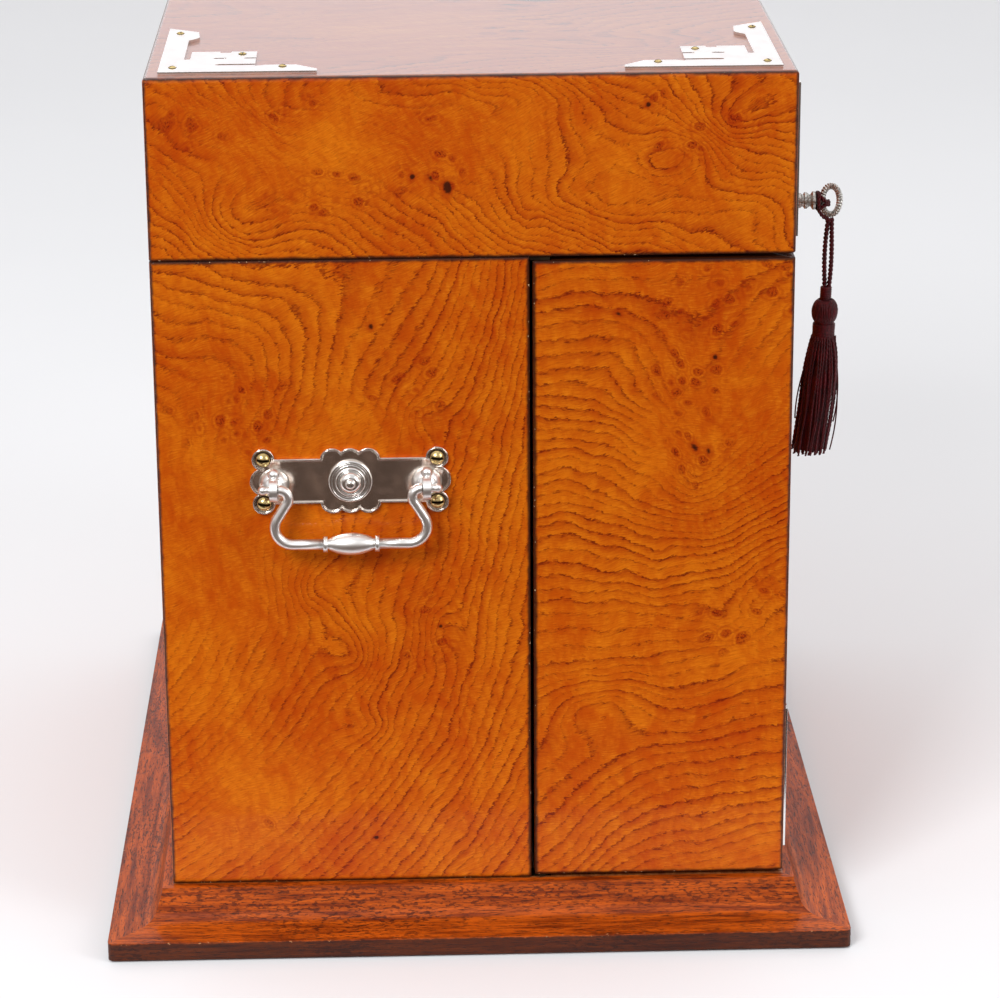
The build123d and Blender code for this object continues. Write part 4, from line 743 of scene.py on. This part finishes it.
def slotted_head(radius, rise, slot_width, slot_depth):
    """A round head whose slot is cut with a boolean, as a mesh with its seat at z = 0."""
    dome = bmesh.new()
    steps = 9
    ball = (radius**2 + rise**2) / (2 * rise)
    start = math.asin(min(1, radius / ball))
    profile = [(0, -rise * 0.3), (radius, -rise * 0.3)]
    for i in range(steps):
        angle = start * (1 - i / steps)
        profile.append((ball * math.sin(angle), ball * math.cos(angle) - (ball - rise)))
    profile.append((0, rise))
    lathe(dome, profile, Matrix.Identity(4), 40)
    head = linked("head", finished(dome, "head"))
    cutter_mesh = bmesh.new()
    bmesh.ops.create_cube(cutter_mesh, size=1)
    for vert in cutter_mesh.verts:
        vert.co = Vector((vert.co.x * radius * 4, vert.co.y * slot_width, vert.co.z * 2 * slot_depth + rise))
    cutter = linked("cutter", finished(cutter_mesh, "cutter"))
    cut = head.modifiers.new("slot", "BOOLEAN")
    cut.operation, cut.solver, cut.object = "DIFFERENCE", "EXACT", cutter
    bpy.context.view_layer.update()
    mesh = bpy.data.meshes.new_from_object(head.evaluated_get(bpy.context.evaluated_depsgraph_get()))
    for piece in (head, cutter):
        bpy.data.objects.remove(piece)
    # Faces in the slot and round the rim take the second material: painted shade in the slot, painted shadow
    # round the head
    floor = rise - slot_depth
    for polygon in mesh.polygons:
        in_slot = abs(polygon.center.y) < slot_width * 0.51 and polygon.center.z > floor - radius * 0.01
        at_rim = math.hypot(polygon.center.x, polygon.center.y) > radius * 0.93
        polygon.material_index = int(in_slot or at_rim)
    return mesh


def screw_piece(name, node, body, radius, rise, turns, outward, rng):
    """One piece with every screw of a node: heads where the CAD heads are, their slots turned at random.

    outward takes a screw's highest corner and gives the way that its head faces.
    """
    template = slotted_head(radius, rise, radius * 0.32, rise * 0.5)
    mesh = bmesh.new()
    for low, high in islands(node):
        direction = outward(high)
        axis = max(range(3), key=lambda i: abs(direction[i]))
        centre = (low + high) / 2
        centre[axis] = (high if direction[axis] > 0 else low)[axis] - direction[axis] * rise
        turn = facing(centre, direction) @ Matrix.Rotation(rng.uniform(*turns), 4, "Z")
        start = len(mesh.verts)
        mesh.from_mesh(template)
        mesh.verts.ensure_lookup_table()
        bmesh.ops.transform(mesh, matrix=turn, verts=mesh.verts[start:])
    data = bpy.data.meshes.new(name)
    mesh.to_mesh(data)
    mesh.free()
    piece = new_piece(name, shaded(data, 35), body, screw_brass)
    # The second material paints shade in the slots and shadow round the heads
    data.materials.append(painted_slot_and_rim_shade)
    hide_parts(node)


def dress_screws(rng):
    """The lid has mounts on its top and its front, so its screws face either way."""
    front, up = Vector((0, -1, 0)), Vector((0, 0, 1))
    any_way, nearly_level = (0, math.pi), (-0.12, 0.16)
    mount_screw = MOUNT_SCREW_RADIUS * MM, MOUNT_SCREW_RISE * MM, any_way
    handle_screw = HANDLE_SCREW_RADIUS * MM, HANDLE_SCREW_RISE * MM, nearly_level
    for name, node, body, screw, outward in (
        ("lid_mount", "lid_mount_screws", "lid", mount_screw, lambda p: up if p.z > TOP_Z * MM else front),
        ("left_door", "left_door_mount_screws", "left_door", mount_screw, lambda p: front),
        ("right_door", "right_door_mount_screws", "right_door", mount_screw, lambda p: front),
        ("handle", "handle_screws", "case", handle_screw, lambda p: Vector((math.copysign(1, p.x), 0, 0))),
    ):
        screw_piece(name + "_slotted_screws", node, body, *screw, outward, rng)


dress_screws(random.Random(7))


# Handle bosses


def bosses():
    """The turned rosette at the middle of each handle plate: beads, a hollow and a button."""
    mesh = bmesh.new()
    outline = [
        (9.2, 0), (9.2, 0.9), (9, 1.5), (8.6, 1.8), (8.1, 1.75), (7.7, 1.35), (7.5, 0.95), (7.1, 0.85),
        (6.7, 1), (6.5, 1.6), (6.3, 2.3), (5.9, 2.75), (5.4, 2.8), (5, 2.45), (4.85, 2.1), (4.8, 2.6),
        (4.6, 3.4), (4.2, 4.1), (3.6, 4.7), (3, 5.05), (2.5, 5.2), (2.2, 5.15), (2.05, 5.3), (2, 5.7),
        (1.8, 6.1), (1.4, 6.4), (0.8, 6.6), (0, 6.65),
    ]
    outline = [(radius * MM, height * MM) for radius, height in outline]
    for low, high in islands("handle_bosses"):
        outward = 1 if low.x > 0 else -1
        middle = (low + high) / 2
        middle.x = low.x if outward > 0 else high.x
        lathe(mesh, outline, facing(middle, Vector((outward, 0, 0))), 64)
    piece = built(mesh, "handle_rosettes", "case", silvers["polished"], sharp=60)
    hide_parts("handle_bosses")


bosses()


def smoothed(node, body):
    """A smoothly shaded copy of a turned or bent piece of silver."""
    data = nodes[node].data.copy()
    mesh = bmesh.new()
    mesh.from_mesh(data)
    bmesh.ops.remove_doubles(mesh, verts=mesh.verts, dist=1e-6)
    mesh.to_mesh(data)
    mesh.free()
    data.materials.clear()
    piece = new_piece(node + "_polished", shaded(data, 38), body, silvers["silver"])
    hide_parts(node)


for side in ("left", "right"):
    smoothed(side + "_bail", side + "_bail")
smoothed("handle_posts", "case")


# Tassel and its cord


def bridge(mesh, low, high):
    """Adds the faces between two rings of as many points."""
    for k in range(len(low)):
        after = (k + 1) % len(low)
        mesh.faces.new((low[k], low[after], high[after], high[k]))


def tube_along(mesh, points, radius, sides=7):
    """Adds a tube along points, closed at both ends."""
    rings, side = [], None
    for i, point in enumerate(points):
        ahead = points[min(i + 1, len(points) - 1)] - points[max(i - 1, 0)]
        if side is None:
            side = ahead.orthogonal().normalized()
        else:
            side = (side - ahead.normalized() * side.dot(ahead.normalized())).normalized()
        other = ahead.normalized().cross(side)
        ring = [point + radius * (side * math.cos(a) + other * math.sin(a)) for a in angles(sides)]
        rings.append([mesh.verts.new(corner) for corner in ring])
    for low, high in zip(rings, rings[1:]):
        bridge(mesh, low, high)
    mesh.faces.new(list(reversed(rings[0])))
    mesh.faces.new(rings[-1])


def spline_points(points):
    """Points along the NURBS spline that has these control points."""
    curve = bpy.data.curves.new("route", "CURVE")
    curve.dimensions = "3D"
    curve.resolution_u = 24
    spline = curve.splines.new("NURBS")
    spline.points.add(len(points) - 1)
    for holder, point in zip(spline.points, points):
        holder.co = (*point, 1)
    spline.order_u = 3
    spline.use_endpoint_u = True
    holder = linked("route", curve)
    line = bpy.data.meshes.new_from_object(holder)
    found = [vert.co.copy() for vert in line.vertices]
    bpy.data.objects.remove(holder)
    return found


def twisted(mesh, centre_line, radius, lay_length, strand_radius, phase=0, sides=7):
    """Adds two strands twisted about a centre line."""
    lengths = [0]
    for a, b in zip(centre_line, centre_line[1:]):
        lengths.append(lengths[-1] + (b - a).length)
    strands = [[], []]
    side = (centre_line[1] - centre_line[0]).orthogonal().normalized()
    for i, point in enumerate(centre_line):
        ahead = (centre_line[min(i + 1, len(centre_line) - 1)] - centre_line[max(i - 1, 0)]).normalized()
        side = (side - ahead * side.dot(ahead)).normalized()
        other = ahead.cross(side)
        for k, strand in enumerate(strands):
            angle = math.tau * (lengths[i] / lay_length + k / 2) + phase
            strand.append(point + radius * (side * math.cos(angle) + other * math.sin(angle)))
    for strand in strands:
        tube_along(mesh, strand, strand_radius, sides)


def resampled(points, step):
    """The same line at even steps."""
    found, carry = [points[0].copy()], 0
    for a, b in zip(points, points[1:]):
        length = (b - a).length
        at = step - carry
        while at < length:
            found.append(a.lerp(b, at / length))
            at += step
        carry = (carry + length) % step
    if (found[-1] - points[-1]).length > step * 0.3:
        found.append(points[-1].copy())
    return found


def leaning(point):
    """The cord and tassel hang a little towards the door, the tassel's skirt more so."""
    depth = CORD_TOP_Z * MM - point.z
    skirt = max(0, depth - 0.055)
    return point + Vector((0, 0.036 * depth + 1.05 * skirt * skirt, 0))


def cord():
    """Two twisted cords side by side, from the bow down through the tassel's head."""
    top = Vector((KEY_X, BOW_Y, CORD_TOP_Z)) * MM
    foot = leaning(Vector((KEY_X, BOW_Y, CORD_END_Z)) * MM)
    route = spline_points([top.lerp(foot, share) for share in (0, 0.33, 0.66, 1)])
    centre = resampled(route, 0.0004)
    mesh = bmesh.new()
    for index, sign in enumerate((1, -1)):
        leg = []
        for i, point in enumerate(centre):
            apart = 0.95 + 0.4 * math.sin(math.pi * min(1, i * 0.4 / 33))
            sway = 0.35 * math.sin(i * 0.045 + index * 1.7)
            leg.append(point + Vector((0.12 * sign, sign * apart + sway, 0)) * MM)
        twisted(mesh, leg, 0.0006, 0.004, 0.00062, index)
    piece = built(mesh, "tassel_cord_twisted", "tassel", tassel_silk)
    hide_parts("tassel_cord")
    return piece, route


def tassel(rng):
    """A bound collar, a wound head, its neck binding and a skirt of hanging threads."""
    mesh = bmesh.new()
    top = Vector((KEY_X, BOW_Y, TASSEL_TOP_Z)) * MM
    head_z, skirt_z = -12, -23.6

    def around(radius, angle, height):
        return top + Vector((radius * math.cos(angle), radius * math.sin(angle), height)) * MM

    def wrap(radius, height, thickness, wobble):
        ring = [around(radius, a, height + wobble * math.sin(a * 2)) for a in angles(40, 41)]
        tube_along(mesh, ring, thickness * MM, 6)

    for i in range(7):
        wrap(2.15, -0.6 - i * 0.85, 0.62, 0.08)
    # Wound head: threads over a core, running from pole to pole
    for turn in angles(46):
        turn += rng.uniform(-0.02, 0.02)
        points = []
        for i in range(15):
            share = i / 14
            angle = math.pi * (0.14 + 0.74 * share)
            radius = 5.75 * math.sin(angle) ** 0.72 + 0.08 * rng.uniform(-1, 1)
            lean = turn + 0.1 * math.sin(share * math.pi)
            points.append(around(radius, lean, head_z + 6.2 * math.cos(angle)))
        tube_along(mesh, points, 0.5 * MM, 5)
    for i in range(9):
        wrap(4.9 + 0.05 * math.sin(i), -18.2 - i * 0.74, 0.46, 0.15)
    # Skirt: three shells of plied threads, fuller outside, and three threads that stray
    for shell, (many, reach, size) in enumerate(((16, 0.42, 0.8), (22, 0.72, 0.72), (30, 1, 0.62))):
        for k in range(many):
            turn = math.tau * (k + 0.5 * shell) / many + rng.uniform(-0.05, 0.05)
            waist, spread = 4.9 * (0.45 + 0.55 * reach), 8 * reach + rng.uniform(-0.45, 0.25)
            foot = 81.6 - abs(rng.gauss(0, 1.2)) if shell else 79
            sway, beat = rng.uniform(-0.22, 0.22), rng.uniform(0, 6)
            points = []
            for i in range(56):
                share = i / 55
                swell = 1 - (1 - share) ** 6
                radius = waist + (spread - waist) * swell + 0.18 * math.sin(share * 7 + beat)
                lean = turn + sway * share + 0.03 * math.sin(share * 11 + beat)
                points.append(around(min(radius, 8.25), lean, skirt_z - (foot + skirt_z) * share))
            twisted(mesh, points, size * 0.42 * MM, 0.0046, size * 0.62 * MM, beat, 5)
    for side, reach, foot in ((1, 9.9, 64), (-1, 10.2, 80), (-1, 9.4, 66)):
        line = []
        for i in range(40):
            share = i / 39
            out = 5.6 + (reach - 5.6) * math.sin(math.pi * 0.62 * share) ** 1.5
            line.append(top + Vector((-1.5, side * out, skirt_z - (foot + skirt_z) * share)) * MM)
        tube_along(mesh, line, 0.38 * MM, 6)
    # Core that keeps light from passing between the threads
    core = [
        (0, 0), (1.9, 0), (1.9, -6), (5.2, -9.6), (5.35, -14), (4.5, -18), (4.5, -24), (6.6, -44),
        (7, -79), (0, -79),
    ]
    lathe(mesh, [(r * MM, z * MM) for r, z in core], Matrix.Translation(top), 28)
    for vert in mesh.verts:
        vert.co = leaning(vert.co)
    piece = built(mesh, "tassel_threads", "tassel", tassel_silk)
    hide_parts("tassel")
    return piece


tassel_piece = tassel(random.Random(11))
cord_piece, cord_route = cord()


# Key


def key():
    """The key: its collared stem, its bit and a hatched oval bow."""
    mesh = bmesh.new()
    axis = Vector((KEY_X, FRONT_Y, KEY_Z)) * MM
    turn = facing(axis, Vector((0, -1, 0)))
    outline = [
        (1.25, -8.4), (1.25, -14.5), (2.5, -14.5), (2.5, 16), (2.5, 21.5), (3.1, 22.2), (3.5, 23.3),
        (3.5, 24.4), (2.9, 25.1), (2.9, 25.6), (3.9, 26.2), (3.9, 27.2), (3, 28.2), (2.7, 29),
        (3.4, 29.4), (4.3, 30), (4.3, 31), (3.4, 31.7), (2.4, 32.2), (2, 33.2), (1.8, 35.2), (0, 35.4),
    ]
    lathe(mesh, [(r * MM, h * MM) for r, h in outline], turn, 40)
    bow = Vector((KEY_X, BOW_Y, KEY_Z))
    rows = []
    for angle in angles(288):
        row = []
        for tilt in angles(16):
            rope = 0.2 * math.sin(30 * angle + 2.2 * math.sin(tilt)) + 0.05 * math.sin(3 * tilt + 24 * angle)
            across = math.copysign(abs(math.cos(tilt)) ** 0.6, math.cos(tilt))
            thick = math.copysign(abs(math.sin(tilt)) ** 0.6, math.sin(tilt))
            radial = (1.42 + 0.7 * rope) * across
            y = (4.1 + radial) * math.cos(angle)
            z = (6.75 + radial) * math.sin(angle)
            row.append(mesh.verts.new((bow + Vector(((1.15 + rope) * thick, y, z))) * MM))
        rows.append(row)
    for row, ahead in zip(rows, rows[1:] + rows[:1]):
        bridge(mesh, row, ahead)
    bit = bmesh.ops.create_cube(mesh, size=1)["verts"]
    low, high = Vector((KEY_X - 1, -124.4, KEY_Z - 9)), Vector((KEY_X + 1, -119.4, KEY_Z - 1))
    for vert in bit:
        vert.co = Vector((low[i] if vert.co[i] < 0 else high[i]) for i in range(3)) * MM
    piece = built(mesh, "door_key", "key", key_metal, sharp=40)
    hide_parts("key")


key()


def hitch():
    """Two slanting wraps of the cord, each round the neck of the key and the near rim of its bow."""
    mesh = bmesh.new()
    rim = Vector((KEY_X, BOW_Y + 3.7, KEY_Z))
    for height, slant in ((0.8, 2.8), (-2.2, -1.6)):
        line = []
        for a in angles(90, 96):
            place = Vector((2.7 * math.cos(a), 2.6 * math.sin(a), height + slant * math.sin(a)))
            line.append((rim + place) * MM)
        twisted(mesh, line, 0.0005, 0.0036, 0.00058, height)
    built(mesh, "key_cord_hitch", "key", tassel_silk)


def neck_loop():
    """The cord's loop over the neck of the key, which turns inside it, down to the two legs."""
    mesh = bmesh.new()
    bow = Vector((KEY_X, BOW_Y, KEY_Z))
    near_half = [
        (0.95, 0, -9.6), (1.3, 2.45, -8.6), (1.9, 4.45, -6.75), (2.5, 5.75, -4.4), (3.1, 5.96, -2.4),
        (3.45, 5.96, -0.4), (3.15, 5.96, 1.5), (2, 5.96, 2.9),
    ]
    far_half = [(-x, y, z) for x, y, z in reversed(near_half)]
    route = [(bow + Vector(place)) * MM for place in [*near_half, (0, 5.96, 3.5), *far_half]]
    twisted(mesh, resampled(spline_points(route), 0.0004), 0.00042, 0.0036, 0.0005)
    built(mesh, "tassel_neck_loop", "tassel", tassel_silk)


hitch()
neck_loop()


# Lid lining


def lining():
    """The lid's padded panel: velvet over wadding, quilted in diamonds."""
    low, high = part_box("lid_lining")
    columns, rows_count = 96, 72
    mesh = bmesh.new()
    grid = []
    for j in range(rows_count + 1):
        line = []
        for i in range(columns + 1):
            x = low.x + (high.x - low.x) * i / columns
            y = low.y + (high.y - low.y) * j / rows_count
            u, v = (x + y) / 0.054, (x - y) / 0.054
            seam = min(abs(u - round(u)), abs(v - round(v)))
            border = min(x - low.x, high.x - x, y - low.y, high.y - y)
            puff = min(1, seam * 3.4) ** 0.5 * min(1, border / 0.008) ** 0.5
            z = low.z + (high.z - low.z) * 0.72 * (1 - puff)
            line.append(mesh.verts.new((x, y, z)))
        grid.append(line)
    for j in range(rows_count):
        for i in range(columns):
            mesh.faces.new((grid[j][i], grid[j][i + 1], grid[j + 1][i + 1], grid[j + 1][i]))
    edge_loop = [e for e in mesh.edges if e.is_boundary]
    made = bmesh.ops.extrude_edge_only(mesh, edges=edge_loop)["geom"]
    for vert in (g for g in made if isinstance(g, bmesh.types.BMVert)):
        vert.co.z = high.z
    bmesh.ops.contextual_create(mesh, geom=[e for e in mesh.edges if e.is_boundary])
    velvet = cloth("plum_velvet", linear(52, 10, 18), linear(112, 26, 40), 0.5, 0.85, 0.8, 12)
    piece = built(mesh, "quilted_lining", "lid", velvet)
    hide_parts("lid_lining")


lining()


# Studio


def stage_plane(name, corners, material):
    mesh = bpy.data.meshes.new(name)
    mesh.from_pydata(corners, [], [tuple(range(len(corners)))])
    piece = linked(name, mesh)
    mesh.materials.append(material)


def studio():
    """White floor and backdrop. The floor ends near the box, whose near side mirrors a dark room."""
    paper = Look("paper")
    tone = paper.noise(paper.place(), 300, 2, 0.5, 1)
    paper.set(Base_Color=paper.mix(tone, (0.77, 0.785, 0.81), (0.8, 0.815, 0.84)), Roughness=0.8)
    near, far, half, top = -0.3, 6, 2.5, 3.5
    stage_plane("floor", [(near, -half, 0), (far, -half, 0), (far, half, 0), (near, half, 0)], paper.material)
    wall = Look("lit_paper")
    tone = wall.noise(wall.place(), 400, 2, 0.5, 2)
    glow = wall.mix(tone, (0.9, 0.88, 0.9), (0.95, 0.93, 0.95))
    wall.set(Base_Color=glow, Roughness=0.8, Emission_Color=glow, Emission_Strength=0.62)
    corners = [(far, -half, 0), (far, -half, top), (far, half, top), (far, half, 0)]
    stage_plane("backdrop", corners, wall.material)
    bpy.context.scene.view_settings.view_transform = "Standard"
    world = bpy.data.worlds.new("studio")
    bpy.context.scene.world = world
    world.use_nodes = True
    tree = world.node_tree
    place = tree.nodes.new("ShaderNodeTexCoord")
    split = tree.nodes.new("ShaderNodeSeparateXYZ")
    tree.links.new(place.outputs["Generated"], split.inputs[0])
    x, z = Wire(tree, split.outputs[0]), Wire(tree, split.outputs[2])
    patches = tree.nodes.new("ShaderNodeTexNoise")
    patches.inputs["Scale"].default_value = 5
    tree.links.new(place.outputs["Generated"], patches.inputs["Vector"])
    room = Wire(tree, patches.outputs[0]).step(0.4, 0.68) * 0.12 + 0.07
    sky = z.step(-0.12, 0.35)
    bright = sky * 0.62 + x.step(-0.2, 0.6) * sky * 0.22 + room
    hue = mix_node(tree, sky, (1, 0.68, 0.54), (1, 0.985, 0.98))
    plug(tree, tree.nodes["Background"].inputs["Color"], hue)
    plug(tree, tree.nodes["Background"].inputs["Strength"], bright)

    def softbox(name, place, size, power):
        """An area light that faces the object, of so many watts."""
        data = bpy.data.lights.new(name, "AREA")
        data.shape, data.size, data.size_y = "RECTANGLE", *size
        data.energy = power
        lamp = linked(name, data)
        lamp.location = place
        lamp.rotation_euler = (Vector((0, 0, 0.2)) - Vector(place)).to_track_quat("-Z", "Y").to_euler()

    softbox("overhead", (0.3, 0, 2), (2, 2), 6)
    softbox("left_front", (-1.7, 0.9, 1.5), (0.8, 0.8), 33)
    softbox("right_front", (-1.3, -1.7, 1), (0.8, 1.3), 14)


studio()
